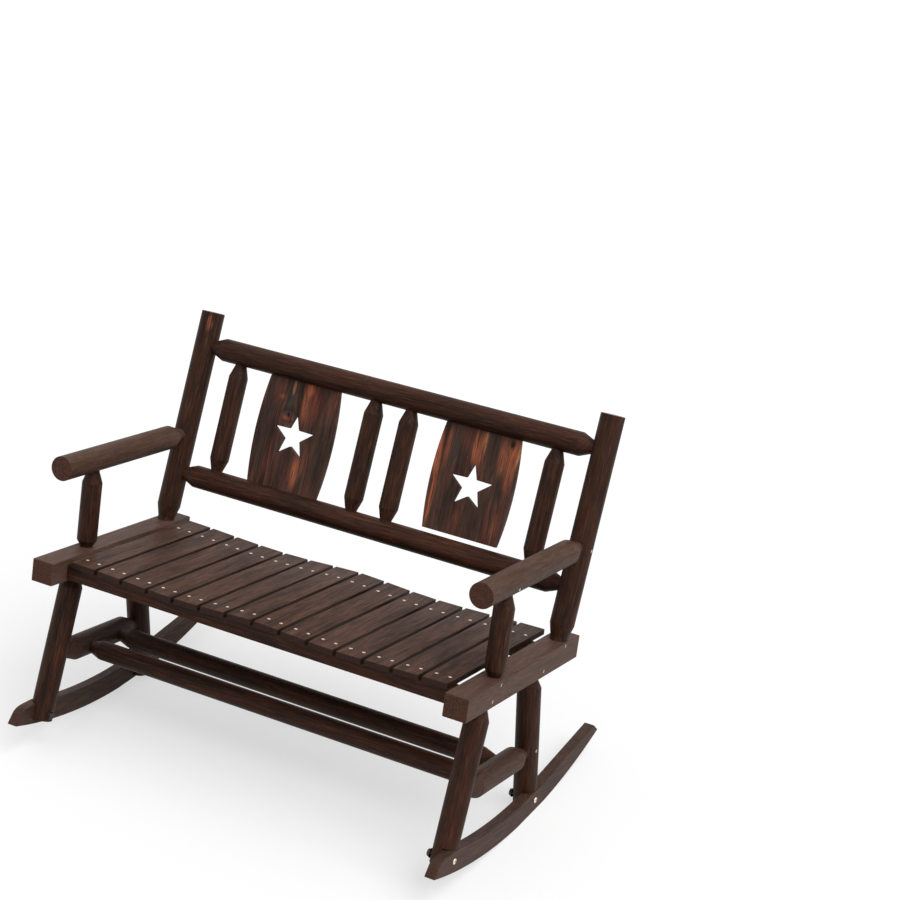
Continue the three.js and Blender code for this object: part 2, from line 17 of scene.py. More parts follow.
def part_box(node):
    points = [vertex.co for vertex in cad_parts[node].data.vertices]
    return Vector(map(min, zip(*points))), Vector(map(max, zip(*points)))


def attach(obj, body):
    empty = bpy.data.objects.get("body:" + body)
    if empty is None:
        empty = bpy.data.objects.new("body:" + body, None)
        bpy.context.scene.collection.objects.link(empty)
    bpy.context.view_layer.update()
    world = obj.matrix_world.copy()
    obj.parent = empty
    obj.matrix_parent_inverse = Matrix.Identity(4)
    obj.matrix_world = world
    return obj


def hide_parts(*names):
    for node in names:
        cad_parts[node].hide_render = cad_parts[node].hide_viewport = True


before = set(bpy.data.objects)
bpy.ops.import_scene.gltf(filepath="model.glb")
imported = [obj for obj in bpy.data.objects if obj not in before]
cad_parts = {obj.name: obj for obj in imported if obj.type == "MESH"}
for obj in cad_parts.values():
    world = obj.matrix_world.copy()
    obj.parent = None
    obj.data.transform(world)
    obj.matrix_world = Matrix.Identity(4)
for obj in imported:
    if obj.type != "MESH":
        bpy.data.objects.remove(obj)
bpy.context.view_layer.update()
BEAM_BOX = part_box("beam_left")

bl_info = {
    "name": "Log rocking bench",
    "version": (1, 0, 0),
    "blender": (4, 5, 0),
    "location": "View3D > Sidebar > Bench",
    "description": "Builds a log rocking bench piece by piece",
    "category": "Add Mesh",
}

MM = 0.001
BODY = "root"
SIDES = {"left": -1, "right": 1}
LEGS = ("front", "rear")
SPINDLES = ("spindle_1", "spindle_2", "spindle_3", "spindle_4")
FOOT = "foot"
HEAD = "head"

# Turns of pieces that are modelled along z or drawn flat
QUARTER = math.pi / 2
DOWN = -QUARTER
ALONG_X = Matrix.Rotation(QUARTER, 4, "Y")
ALONG_Y = Matrix.Rotation(-QUARTER, 4, "X")
UPRIGHT = Matrix.Rotation(QUARTER, 4, "X")

# Fits between pieces, and how far a cutter runs past a surface
FIT_GAP = 0.3 * MM
COUNTERSINK_GAP = 0.8 * MM
OVERRUN = 6 * MM
BOX_TOLERANCE = 1.6 * MM

# Facets and steps of round forms, and the angles at which edges are eased and shading breaks
LOG_FACETS = 64
SMALL_FACETS = 24
RING_STEP = 40 * MM
ARC_STEPS = 40
ROUND_STEPS = 8
EDGE_STEPS = 2
BEAM_EDGE_STEPS = 3
SOFT_ANGLE = math.radians(15)
EDGE_ANGLE = math.radians(30)
SMOOTH_ANGLE = math.radians(14)

# Where the locking screws stand: back from their log's axis and down from the beams' tops
SCREW_PLACES = {
    "leg_screw_front": (-5 * MM, 43.8 * MM),
    "leg_screw_rear": (14 * MM, 43.4 * MM),
    "arm_post_screw": (-12 * MM, 11.7 * MM),
    "back_post_screw": (-11.5 * MM, 7.7 * MM),
}
ARM_SCREW_BACK = 8 * MM
ARM_SCREW_DROP = 10 * MM
UPPER_POST_SCREW_RISE = 225 * MM
LOWER_LEG_SCREW_BACK = -4 * MM
LOWER_LEG_SCREW_DROP = 265 * MM

# Screws: how deep their heads are sunk, the rim of a head, the cross in it as shares of the
# head's width and depth, and the tip as a share of the shank
SLAT_SCREW_SUNK = 0.3 * MM
LOCKING_SCREW_SUNK = 0.9 * MM
SCREW_RIM = 0.25 * MM
RECESS_LENGTH_SHARE = 0.56
RECESS_WIDTH_SHARE = 0.15
RECESS_DEPTH_SHARE = 0.6
TIP_SHARE = 0.5

# Bolts and nuts: the socket in a bolt's head, the head's upright side, its dome, and the nut
SOCKET_SHARE = 0.54
SOCKET_DEPTH = 5 * MM
HEAD_SIDE_SHARE = 1 / 3
DOME_STEPS = 4
DOME_FLAT_SHARE = 0.12
NUT_SIDES = 6
NUT_EDGE = 0.7 * MM
WASHER_EDGE_SHARE = 0.25

# Where the pith lay beside each kind of piece, in x and y, and how far it leans along the grain.
# Offsets vary by these shares, and a piece was cut between these heights up its tree
PITHS = {
    "log": ((7 * MM, 7 * MM), 0.02),
    "split_post": ((0, 7 * MM), 0),
    "beam": ((26 * MM, 34 * MM), 0.015),
    "cross_rail": ((28 * MM, 30 * MM), 0.015),
    "slat": ((24 * MM, 42 * MM), 0.02),
    "rocker": ((30 * MM, 60 * MM), 0.02),
    "panel": ((0, 46 * MM), 0),
}
PITH_SPREAD_SHARES = (0.7, 1.3)
TREE_HEIGHTS = (1, 30)

# Faces in narrow gaps and cuts that get painted shade: how squarely they face a direction, and how
# black the painted shade makes them
SIDE_FACING_SHARE = 0.9
GAP_SHADE_SHARE = 0.7

# The streaks in the wood: their width and length, the detail of their noise, and a shift that
# keeps one from following another. Real fibres are finer, and these are as coarse as they need
# to be to show
STREAKS = {
    "zones": (30 * MM, 240 * MM, 3, 0),
    "bands": (9 * MM, 190 * MM, 3, 4),
    "lines": (2.6 * MM, 70 * MM, 2, 9),
    "fibres": (1 * MM, 26 * MM, 2, 15),
    "clouds": (16 * MM, 60 * MM, 2, 21),
}
END_SPOT = 3 * MM
YEAR_RING = 3.4 * MM

# Layers that are alike in all of the wood: the pattern that each follows, and how strong the
# layer is at some levels of the pattern
LAYERS = {
    "broken": ("bands", ((0.34, 0.35), (0.58, 1))),
    "tan": ("lines", ((0.56, 0), (0.74, 0.4))),
    "line": ("lines", ((0.34, 0.2), (0.5, 1))),
    "fine": ("lines", ((0.38, 0.5), (0.52, 1))),
    "fibre": ("fibres", ((0.36, 0.2), (0.62, 1))),
    "ring": ("rings", ((0, 1), (0.6, 0.85), (0.93, 0.3), (1, 1))),
    "spot": ("spots", ((0.4, 0.15), (0.6, 1))),
    "sawn": ("ends", ((0.8, 0), (0.95, 1))),
}

# The slow bends that a tree grows with: their width and length, and how far they lead aside
GROWTH_BEND = (60 * MM, 250 * MM)
BEND_REACH = 12 * MM

# A knot: how far it leads the grain aside, how much less it counts along the grain, and where
# its dark core fades out, as shares of the core's radius
KNOT_PULL_SHARE = 0.92
KNOT_SQUASH_SHARE = 0.55
KNOT_FADE_SHARES = (0.5, 1.5)

# How strongly the torch burns zones and bands, how strongly lines, rings, fibres and the end
# grain show, and where a patch fades out, as shares of its half width or length
ZONE_BURN_SHARE = 0.7
BAND_BURN_SHARE = 0.4
LINE_SHARE = 0.6
RING_SHARE = 0.25
FIBRE_SHARE = 0.5
END_GRAIN_SHARE = 0.6
PATCH_FADE_SHARES = (0.3, 1.3)

# Roughness of the burnt lines and of the ridges between them, and the depth of the brushing
LINE_ROUGHNESS = 0.66
RIDGE_ROUGHNESS = 0.4
BRUSHED_DEPTH = 0.3 * MM

# Drawn marks on the metal, coarser than on real screws so that they show, how much darker they
# are, and how much glossier and duller than the rest
DRAWN_MARK = 1.2 * MM
DRAWN_DEPTH = 0.1 * MM
WORN_SHARE = 0.8
GLOSSY_SIDE = -0.08
DULL_SIDE = 0.12

# Length of one wave of the wave texture at a scale of 1
WAVE_LENGTH = math.pi / 10

# Width of the camera's sensor, in mm, as the camera takes it
SENSOR_WIDTH = 36

# Sockets of a Mix node that mixes colours
MIX_SHARE = 0
MIX_UNDER = 6
MIX_OVER = 7
MIX_RESULT = 2

# Patches on the panels: their colour, place across and up, half width, half length and
# strength. Lengths are in mm, from the panel's middle at the star's height
LEFT_MARKS = (
    ("charcoal", -88, 10, 30, 120, 0.85),
    ("charcoal", 84, -50, 26, 90, 0.8),
    ("charcoal", 52, 10, 16, 50, 0.6),
    ("charcoal", -20, -70, 12, 60, 0.6),
    ("panel_red", -112, 95, 10, 60, 0.8),
    ("panel_red", -66, 112, 14, 44, 0.6),
    ("panel_red", -60, -80, 12, 60, 0.6),
    ("smoke", -31, 92, 12, 34, 1),
    ("amber", -27, 132, 4, 24, 0.7),
    ("orange", 18, 130, 17, 24, 1),
    ("rust", 16, 84, 17, 50, 0.9),
    ("orange", 8, 92, 5, 36, 0.7),
    ("panel_red", 46, 96, 14, 56, 0.9),
    ("panel_red", 88, 98, 9, 44, 0.9),
    ("rust", 100, 130, 6, 34, 0.8),
    ("orange", 28, -86, 13, 46, 0.75),
    ("rust", 48, -48, 8, 50, 0.8),
    ("rust", -54, 97, 13, 8, 0.8),
    ("charcoal", -27, 56, 20, 24, 1),
    ("rust", -29, 50, 11, 12, 0.9),
    ("smoke", -27, 56, 7, 9, 0.9),
)
RIGHT_MARKS = (
    ("smoke", -66, 84, 14, 60, 0.8),
    ("charcoal", 42, 100, 16, 66, 0.95),
    ("charcoal", 78, 14, 20, 40, 0.95),
    ("charcoal", 16, -80, 40, 80, 0.85),
    ("charcoal", -52, -60, 26, 80, 0.7),
    ("orange", -108, 66, 10, 70, 0.95),
    ("rust", -100, -10, 11, 90, 0.95),
    ("orange", -106, -70, 9, 66, 0.8),
    ("panel_red", -40, 116, 16, 36, 0.9),
    ("rust", -84, 90, 9, 60, 0.7),
    ("orange", -8, 104, 9, 52, 1),
    ("orange", 12, 112, 9, 52, 0.9),
    ("amber", 16, 120, 5, 36, 0.9),
    ("rust", 2, 74, 8, 38, 0.9),
    ("rust", 72, 96, 14, 54, 0.95),
    ("orange", 97, 98, 14, 58, 1),
    ("amber", 106, 104, 4, 30, 0.7),
    ("rust", 94, 50, 14, 50, 0.9),
    ("panel_red", 64, -84, 10, 66, 0.9),
    ("rust", 86, -92, 8, 50, 0.6),
    ("panel_red", -18, -96, 8, 50, 0.6),
)

# A split near the left post's top, in mm from its middle and its top, with minus down
POST_MARKS = (
    ("rust", 12, -30, 8, 24, 0.4),
    ("orange", 15, -28, 0.9, 22, 0.8),
    ("orange", 9, -24, 0.9, 16, 0.7),
    ("amber", 20, -34, 0.9, 12, 0.8),
    ("tan", 14, -90, 5, 30, 0.12),
    ("char", 3, -48, 2, 16, 1),
)

# Knots in the panels: place across and up, the radius that bends the grain, and the core's
LEFT_KNOTS = ((-27 * MM, 54 * MM, 13 * MM, 4 * MM),)
RIGHT_KNOTS = ((86 * MM, 130 * MM, 8 * MM, 5 * MM),)


@dataclass
class Wood:
    """A finish of the wood: its colours by name, how strong its red streaks, ochre clouds and
    burning are, and the shift of its pattern across the grain."""

    brown: str
    red: str
    red_share: float
    end: str = "end_brown"
    shift: int = 0
    ochre_share: float = 0
    burn_share: float = 1
    marks: tuple = ()
    knots: tuple = ()


WOODS = {
    # Peeled logs that stand: nearly black brown, with rusty streaks and yellow-brown clouds
    "carbonised_fir_post": Wood(
        "post_brown", "log_red", 0.32, ochre_share=0.35, burn_share=0.8
    ),
    # The same log with pale splinters round a split
    "carbonised_fir_split_post": Wood(
        "post_brown", "log_red", 0.32, ochre_share=0.35, burn_share=0.8, marks=POST_MARKS
    ),
    # Rails, torched deepest: black lines run through a redder brown
    "carbonised_fir_rail": Wood("rail_brown", "log_red", 0.4, shift=2, ochre_share=0.15),
    # Arms, sanded where hands lie: paler and smoother, with soft clouds
    "carbonised_fir_arm": Wood(
        "arm_brown", "board_red", 0.15, shift=11, ochre_share=0.35, burn_share=0.45
    ),
    # Squared beams, planed after the torch: an even grey-brown with faint lines
    "carbonised_fir_beam": Wood("beam_brown", "board_red", 0.15, shift=5, burn_share=0.4),
    # Rockers and side stretchers, brushed smooth: dark, with soft clouds and faint lines
    "carbonised_fir_smooth": Wood(
        "smooth_brown", "board_red", 0.15, shift=6, ochre_share=0.3, burn_share=0.5
    ),
    # Sawn slats, brushed hard: streaks of grey, red and ochre, and dark ends
    "carbonised_fir_board": Wood(
        "board_brown", "board_red", 0.3, end="slat_end", shift=6, ochre_share=0.4
    ),
    # Panels, torched in places: red and amber patches are left where the heartwood was spared
    "torched_fir_left": Wood(
        "panel_brown", "panel_red", 0.3, shift=3, marks=LEFT_MARKS, knots=LEFT_KNOTS
    ),
    "torched_fir_right": Wood(
        "panel_brown", "panel_red", 0.3, shift=8, marks=RIGHT_MARKS, knots=RIGHT_KNOTS
    ),
}

# Zinc on steel: its colour's name and its roughness. Yellow zinc gleams like brass, bright zinc
# is a pale matt dot in the slats, and dark zinc hardly shines
PLATINGS = {
    "yellow_zinc_steel": ("brass", 0.3),
    "bright_zinc_steel": ("zinc", 0.6),
    "dark_zinc_steel": ("steel", 0.4),
}


def length(name, millimetres, description):
    """A length property, kept in metres."""
    return bpy.props.FloatProperty(
        name=name, default=millimetres * MM, precision=4, unit="LENGTH", description=description
    )


def share(name, value, description):
    """A property for a share of something."""
    return bpy.props.FloatProperty(name=name, default=value, precision=3, description=description)


def colour(name, value, description):
    """A colour property, kept as an sRGB hex value."""
    return bpy.props.StringProperty(name=name, default=value, description=description)


def angle(name, degrees, description):
    """An angle property, kept in radians."""
    return bpy.props.FloatProperty(
        name=name,
        default=math.radians(degrees),
        precision=3,
        unit="ROTATION",
        description=description,
    )


def point(name, tip, taper, tenon):
    """A property for a log's point: the tip's width, the taper's length and the tenon's length."""
    return bpy.props.FloatVectorProperty(
        name=name,
        size=3,
        default=(tip * MM, taper * MM, tenon * MM),
        precision=4,
        unit="LENGTH",
        description="Width of the tip, length of the taper and length of the tenon past it",
    )


class SeatSizes(bpy.types.PropertyGroup):
    """Sizes of the two side beams, the slats and the cross rails under them."""

    bench_width: length("Bench width", 1240, "Width over the side beams")
    beam_width: length("Beam width", 63, "Width of a side beam")
    beam_height: length("Beam height", 59, "Height of a side beam")
    beam_length: length("Beam length", 599, "Length of a side beam")
    beam_edge: length("Beam edge", 2.6, "Width of the eased edges of a beam")
    slat_count: bpy.props.IntProperty(name="Slats", default=14, description="Number of seat slats")
    slat_width: length("Slat width", 68, "Width of a slat")
    slat_gap: length("Slat gap", 9.4, "Gap between two slats")
    slat_thickness: length("Slat thickness", 15, "Thickness of a slat")
    slat_length: length("Slat length", 517, "Length of a slat")
    slat_front: length(
        "Slat front", 50.5, "From the beams' front ends back to the slats' front ends"
    )
    slat_edge: length("Slat edge", 1.6, "Width of the eased edges of a slat")
    slat_proud: length("Slat proud", 0.5, "How far the highest slats stand above the beams")
    seat_dip: length("Seat dip", 8.8, "Depth of the two scoops in the seat")
    seat_low_share: share(
        "Lowest place", 0.43, "Where a scoop is lowest, as a share of half the seat"
    )
    seat_round_power: share("Scoop roundness", 0.85, "Exponent that rounds the scoops")
    cross_thickness: length("Cross rail thickness", 42, "Thickness of a cross rail")
    cross_front: length("Front cross rail", 61, "Front face of the front cross rail")
    cross_rear: length("Rear cross rail", 463, "Front face of the rear cross rail")
    cross_depth: length(
        "Cross rail depth", 54, "From the beams' tops down to the cross rails' undersides"
    )
    cross_tenon: length("Cross rail tenon", 15, "Length of a cross rail's tenon in the beam")
    cross_shoulder: length(
        "Cross rail shoulder", 7, "Height of the shoulder above and below the tenon"
    )
    cross_edge: length("Cross rail edge", 0.8, "Width of the eased edges of a cross rail")


class LogSizes(bpy.types.PropertyGroup):
    """Sizes and places of the logs."""

    post_point: point("Back post point", 44, 32, 25)
    leg_point: point("Leg point", 34.6, 33, 25)
    rail_point: point("Back rail point", 34.6, 32, 26)
    thin_point: point("Spindle point", 31, 31, 20)
    arm_post_foot: point("Arm post foot", 30.5, 17.5, 25)
    arm_post_head: point("Arm post head", 32, 29.5, 30)
    arm_point: point("Arm point", 31, 44, 22)
    side_point: point("Side stretcher point", 32, 40, 20)
    edge: length(
        "Log edge", 1.1, "Width of the eased edges at sawn ends and at the shoulders of points"
    )
    post_diameter: length("Back post diameter", 62, "Diameter of a back post")
    post_set_out: length(
        "Post set out", 3, "How far posts and arms stand out from the beams' middles"
    )
    post_foot: length("Post foot", 532.5, "From the beams' front ends back to the posts' feet")
    post_length: length("Post length", 569, "Length of a back post above the beam")
    back_lean: angle("Back lean", 12.8, "How far the back leans from square to the beams")
    upper_rail: length(
        "Upper rail height", 479.5, "Height of the upper back rail up the back's slope"
    )
    upper_diameter: length("Upper rail diameter", 61, "Diameter of the upper back rail")
    lower_rail: length(
        "Lower rail height", 132, "Height of the lower back rail up the back's slope"
    )
    lower_diameter: length("Lower rail diameter", 60, "Diameter of the lower back rail")
    spindle_diameter: length("Spindle diameter", 51, "Diameter of a spindle")
    spindle_outer: length("Outer spindles", 470.4, "From the bench's middle to an outer spindle")
    spindle_inner: length("Inner spindles", 52.2, "From the bench's middle to an inner spindle")
    arm_diameter: length("Arm diameter", 63, "Diameter of an arm")
    arm_height: length("Arm height", 232, "From the beams' tops up to an arm's middle")
    arm_front: length(
        "Arm front", 45.3, "From the beams' front ends back to the arms' front ends"
    )
    arm_post_diameter: length("Arm post diameter", 51.8, "Diameter of an arm post")
    arm_post_back: length(
        "Arm post place", 180.3, "From the beams' front ends back to an arm post"
    )
    leg_diameter: length("Leg diameter", 60, "Diameter of a leg")
    front_leg: length(
        "Front leg place", 134, "From the beams' front ends back to a front leg's top"
    )
    front_lean: angle("Front leg lean", 12.7, "How far a front leg's foot leans forward")
    rear_leg: length(
        "Rear leg place", 395.8, "From the beams' front ends back to a rear leg's top"
    )
    rear_lean: angle("Rear leg lean", 13.7, "How far a rear leg's foot leans back")
    leg_end_lift: length("Leg end lift", 12, "How far a leg ends above the rocker's lower edge")
    stretcher_drop: length(
        "Stretcher drop", 274, "From the beams' tops down to the stretchers' middles"
    )
    side_diameter: length("Side stretcher diameter", 62.5, "Diameter of a side stretcher")
    long_diameter: length("Long stretcher diameter", 50.5, "Diameter of a long stretcher")
    long_front: length("Front long stretcher", 204, "From the beams' front ends back to it")
    long_rear: length("Rear long stretcher", 329, "From the beams' front ends back to it")


class PanelSizes(bpy.types.PropertyGroup):
    """Sizes of the two back panels and the star cut in each."""

    panel_x: length("Panel place", 265, "From the bench's middle to a panel's middle")
    thickness: length("Panel thickness", 12, "Thickness of a panel")
    waist: length("Panel waist", 234.4, "Pull of the curves along a panel's sides")
    end_width: length("Panel end width", 212, "Width of a panel at its ends")
    tongue: length("Panel tongue", 12, "How deep a panel is let into a rail")
    right_lift: length(
        "Right panel lift", 11, "How far the right panel ends above the lower rail"
    )
    edge: length("Panel edge", 1, "Width of the eased edges of a panel")
    star_height: length("Star height", 303.8, "Height of the stars' middles up the back's slope")
    star_points: bpy.props.IntProperty(
        name="Star points", default=5, description="Points of a star"
    )
    star_radius: length("Star radius", 61.8, "From a star's middle to its points")
    star_inner_share: share(
        "Star notch", 0.408, "A star's inner radius as a share of its outer radius"
    )
    star_set_left: length(
        "Star set left", 2.3, "How far the stars stand left of the panels' middles"
    )


class RockerSizes(bpy.types.PropertyGroup):
    """Sizes of the rockers. Reaches are from the arc's lowest point, with the beams level."""

    radius: length("Rocker radius", 1318, "Radius of the lower edge")
    low_back: length(
        "Lowest point", 231.8, "From the beams' front ends back to the arc's lowest point"
    )
    beam_top: length(
        "Beam top height", 463.1, "From the arc's lowest point up to the beams' tops"
    )
    depth: length("Rocker depth", 57.5, "Depth of a rocker between its two arcs")
    thickness: length("Rocker thickness", 28, "Thickness of a rocker")
    edge: length("Rocker edge", 1.8, "Width of the eased edges of a rocker")
    nose_reach: length("Nose reach", 278, "Forward reach of the nose")
    nose_flat_reach: length("Nose flat reach", 187, "Forward reach of the upper arc")
    nose_rise: length("Nose rise", 38, "Height of the nose's face")
    nose_back: length("Nose back", 26, "How far the nose's face leans back")
    nose_round_share: share(
        "Nose roundness", 0.4, "Share of the nose's faces that its rounding takes"
    )
    straight_reach: length("Straight reach", 310, "Where the upper edge turns straight")
    tail_reach: length("Tail reach", 592, "Rear reach of the lower edge")
    tail_cut: length("Tail cut", 29, "How much shorter the upper edge is at the tail")
    flat_length: length("Rest flat", 140, "Length of the flat that the bench rests on")
    recline: angle("Recline", 10, "How far the bench leans back at rest")


class MetalSizes(bpy.types.PropertyGroup):
    """Sizes and places of the bolts, nuts and screws."""

    bolt_diameter: length("Bolt diameter", 8, "Diameter of a rocker bolt")
    bolt_head: length("Bolt head", 15, "Diameter of a bolt's head")
    bolt_head_height: length("Bolt head height", 4, "Height of a bolt's head")
    bolt_rise: length("Bolt rise", 20, "From a leg's end up to its bolt")
    bolt_forward: length("Bolt forward", 6, "How far a bolt is ahead of its leg's middle")
    nut_diameter: length("Nut width", 19, "Width of a nut over its corners")
    nut_thickness: length("Nut thickness", 6.5, "Thickness of a nut")
    washer_diameter: length("Washer diameter", 24, "Diameter of a washer")
    washer_thickness: length("Washer thickness", 1.6, "Thickness of a washer")
    screw_diameter: length("Screw diameter", 4.4, "Diameter of a locking screw")
    screw_head: length("Screw head", 9, "Diameter of a locking screw's head")
    screw_head_depth: length("Screw head depth", 3, "Depth of a locking screw's head")
    screw_length: length("Screw length", 32, "Length of a locking screw")
    slat_screw_head: length("Slat screw head", 8.4, "Diameter of a slat screw's head")
    slat_screw_diameter: length("Slat screw diameter", 4, "Diameter of a slat screw")
    slat_screw_length: length("Slat screw length", 34, "Length of a slat screw")
    slat_screw_spread: length(
        "Slat screw spread", 35.5, "From one slat screw to the next across a slat"
    )
    slat_screw_front: length(
        "Front slat screws", 93.4, "From the beams' front ends back to these screws"
    )
    slat_screw_rear: length(
        "Rear slat screws", 490.6, "From the beams' front ends back to these screws"
    )


class Finishes(bpy.types.PropertyGroup):
    """The colours of the wood and the metal."""

    char: colour("Char", "#180e09", "Darkest wood")
    post_brown: colour("Post brown", "#3c241a", "Legs, posts and spindles")
    rail_brown: colour("Rail brown", "#492c20", "Back rails, long stretchers and cross rails")
    log_red: colour("Log red", "#63301f", "Streaks of heartwood in posts, legs and rails")
    ochre: colour("Ochre", "#543520", "Soft yellow-brown clouds in the wood")
    tan: colour("Tan", "#7f5a42", "Fine pale lines where the char was brushed off")
    arm_brown: colour("Arm brown", "#5f473b", "Arms")
    beam_brown: colour("Beam brown", "#664c41", "Beams")
    board_brown: colour("Board brown", "#62463b", "Slats")
    smooth_brown: colour("Smooth brown", "#503b33", "Rockers and side stretchers")
    board_red: colour(
        "Board red", "#6c4334", "Streaks of heartwood in beams, arms, slats and rockers"
    )
    end_brown: colour("End brown", "#644233", "Sawn ends, but for the slats'")
    slat_end: colour("Slat end", "#412b22", "Sawn ends of the slats")
    panel_brown: colour("Panel brown", "#62483d", "Panels between their streaks")
    panel_red: colour("Panel red", "#8c4c40", "Red streaks in the panels")
    rust: colour("Rust", "#b0684c", "Rust streaks in the panels")
    orange: colour("Orange", "#e4825a", "Orange streaks in the panels")
    amber: colour("Amber", "#e8a87a", "Palest streaks in the panels")
    smoke: colour("Smoke", "#45453f", "Grey-green soot in the panels")
    charcoal: colour("Charcoal", "#332a26", "Soot in the panels")
    brass: colour("Brass", "#f8ecd6", "Yellow zinc on bolts and locking screws")
    zinc: colour("Zinc", "#fcebdc", "Bright zinc on the slat screws")
    steel: colour("Steel", "#4a4744", "Dark zinc on nuts and washers")


class Studio(bpy.types.PropertyGroup):
    """The camera, the lamps and the floor."""

    camera_place: bpy.props.FloatVectorProperty(
        name="Camera place",
        size=3,
        default=(2.5998, -4.2517, 3.1074),
        subtype="TRANSLATION",
        unit="LENGTH",
        description="Where the camera stands",
    )
    camera_turn: bpy.props.FloatVectorProperty(
        name="Camera turn",
        size=3,
        default=tuple(math.radians(turn) for turn in (65.7562, -2.839, 29.0069)),
        subtype="EULER",
        unit="ROTATION",
        description="How the camera is turned",
    )
    lens: bpy.props.FloatProperty(
        name="Lens", default=89.8, description="Focal length on a 36 mm sensor"
    )
    floor_size: bpy.props.FloatProperty(
        name="Floor size", default=80, unit="LENGTH", description="Length of the floor's sides"
    )
    floor_bounce: share("Floor bounce", 0.35, "Grey of the floor for light that bounces")
    floor_grey: share("Floor grey", 0.43, "Grey of the floor for the eye")
    floor_glow: share("Floor glow", 0.58, "White that the floor adds for the eye alone")
    lamp_direction: bpy.props.FloatVectorProperty(
        name="Lamp direction",
        size=3,
        default=(0.6, -0.12, 0.79),
        subtype="DIRECTION",
        description="From the bench towards the main lamp",
    )
    sky_low: bpy.props.FloatProperty(
        name="Low sky", default=0.1, description="Light from the horizon"
    )
    sky_high: bpy.props.FloatProperty(
        name="High sky", default=0.78, description="Light from overhead"
    )
    sun_strength: bpy.props.FloatProperty(
        name="Sun", default=2, description="Strength of the main lamp"
    )
    sun_softness: angle("Lamp softness", 50, "Angle that the main lamp fills")


GROUPS = {
    "bench_seat": SeatSizes,
    "bench_logs": LogSizes,
    "bench_panels": PanelSizes,
    "bench_rockers": RockerSizes,
    "bench_metal": MetalSizes,
    "bench_finish": Finishes,
    "bench_studio": Studio,
}


def settings(name):
    """The scene's values for one group of sizes."""
    return getattr(bpy.context.scene, name)


# Layout


@dataclass
class Log:
    """A log along its own z axis, from its foot at zero to its head, without its tenons."""

    place: Matrix
    diameter: float
    length: float
    foot: tuple = None
    head: tuple = None


def slide(x, y, z):
    return Matrix.Translation((x, y, z))


def turn(amount, axis):
    return Matrix.Rotation(amount, 4, axis)


def bench_frame():
    """From the bench with its beams level to where it rests, found from a beam's box."""
    lean = settings("bench_rockers").recline
    low, high = BEAM_BOX
    front_end = low.y + math.sin(lean) * settings("bench_seat").beam_height
    return slide(0, front_end, high.z) @ turn(-lean, "X")


def back_frame():
    """The back's own frame: z runs up its slope from the beams' tops."""
    logs = settings("bench_logs")
    return bench_frame() @ slide(0, logs.post_foot, 0) @ turn(-logs.back_lean, "X")


def beam_x():
    seat = settings("bench_seat")
    return (seat.bench_width - seat.beam_width) / 2


def post_x():
    return beam_x() + settings("bench_logs").post_set_out


def nut_x():
    return beam_x() - settings("bench_logs").leg_diameter / 2 - FIT_GAP


def tip_lift(tip, lean):
    """How far a point's tip stops short of a surface that leans from square."""
    return tip[0] / 2 * math.tan(abs(lean)) + FIT_GAP


def rail_edges():
    """How high up the back's slope the lower rail's top and the upper rail's underside are."""
    logs = settings("bench_logs")
    low = logs.lower_rail + logs.lower_diameter / 2
    high = logs.upper_rail - logs.upper_diameter / 2
    return low, high


def leg_slopes():
    """Where each leg's top stands behind the beams' front ends, and how far it leans forward."""
    logs = settings("bench_logs")
    return {
        "front": (logs.front_leg, logs.front_lean),
        "rear": (logs.rear_leg, -logs.rear_lean),
    }


def leg_axis(leg, drop):
    """The y of a leg's axis at a drop below the beams' tops."""
    top, lean = leg_slopes()[leg]
    return top - (drop - settings("bench_seat").beam_height) * math.tan(lean)


def rocker_centre():
    rockers = settings("bench_rockers")
    return Vector((rockers.low_back, rockers.radius - rockers.beam_top))


def leg_layout(leg):
    """A leg's foot in y and z, its length and its lean. It ends just above the rocker's arc."""
    logs = settings("bench_logs")
    rockers = settings("bench_rockers")
    top, lean = leg_slopes()[leg]
    down = Vector((-math.sin(lean), -math.cos(lean)))
    start = Vector((top, -settings("bench_seat").beam_height))
    start += down * tip_lift(logs.leg_point, lean)
    offset = start - rocker_centre()
    along = offset.dot(down)
    reach = rockers.radius - logs.leg_end_lift
    run = math.sqrt(along**2 - offset.length_squared + reach**2) - along
    return start + down * run, run, lean


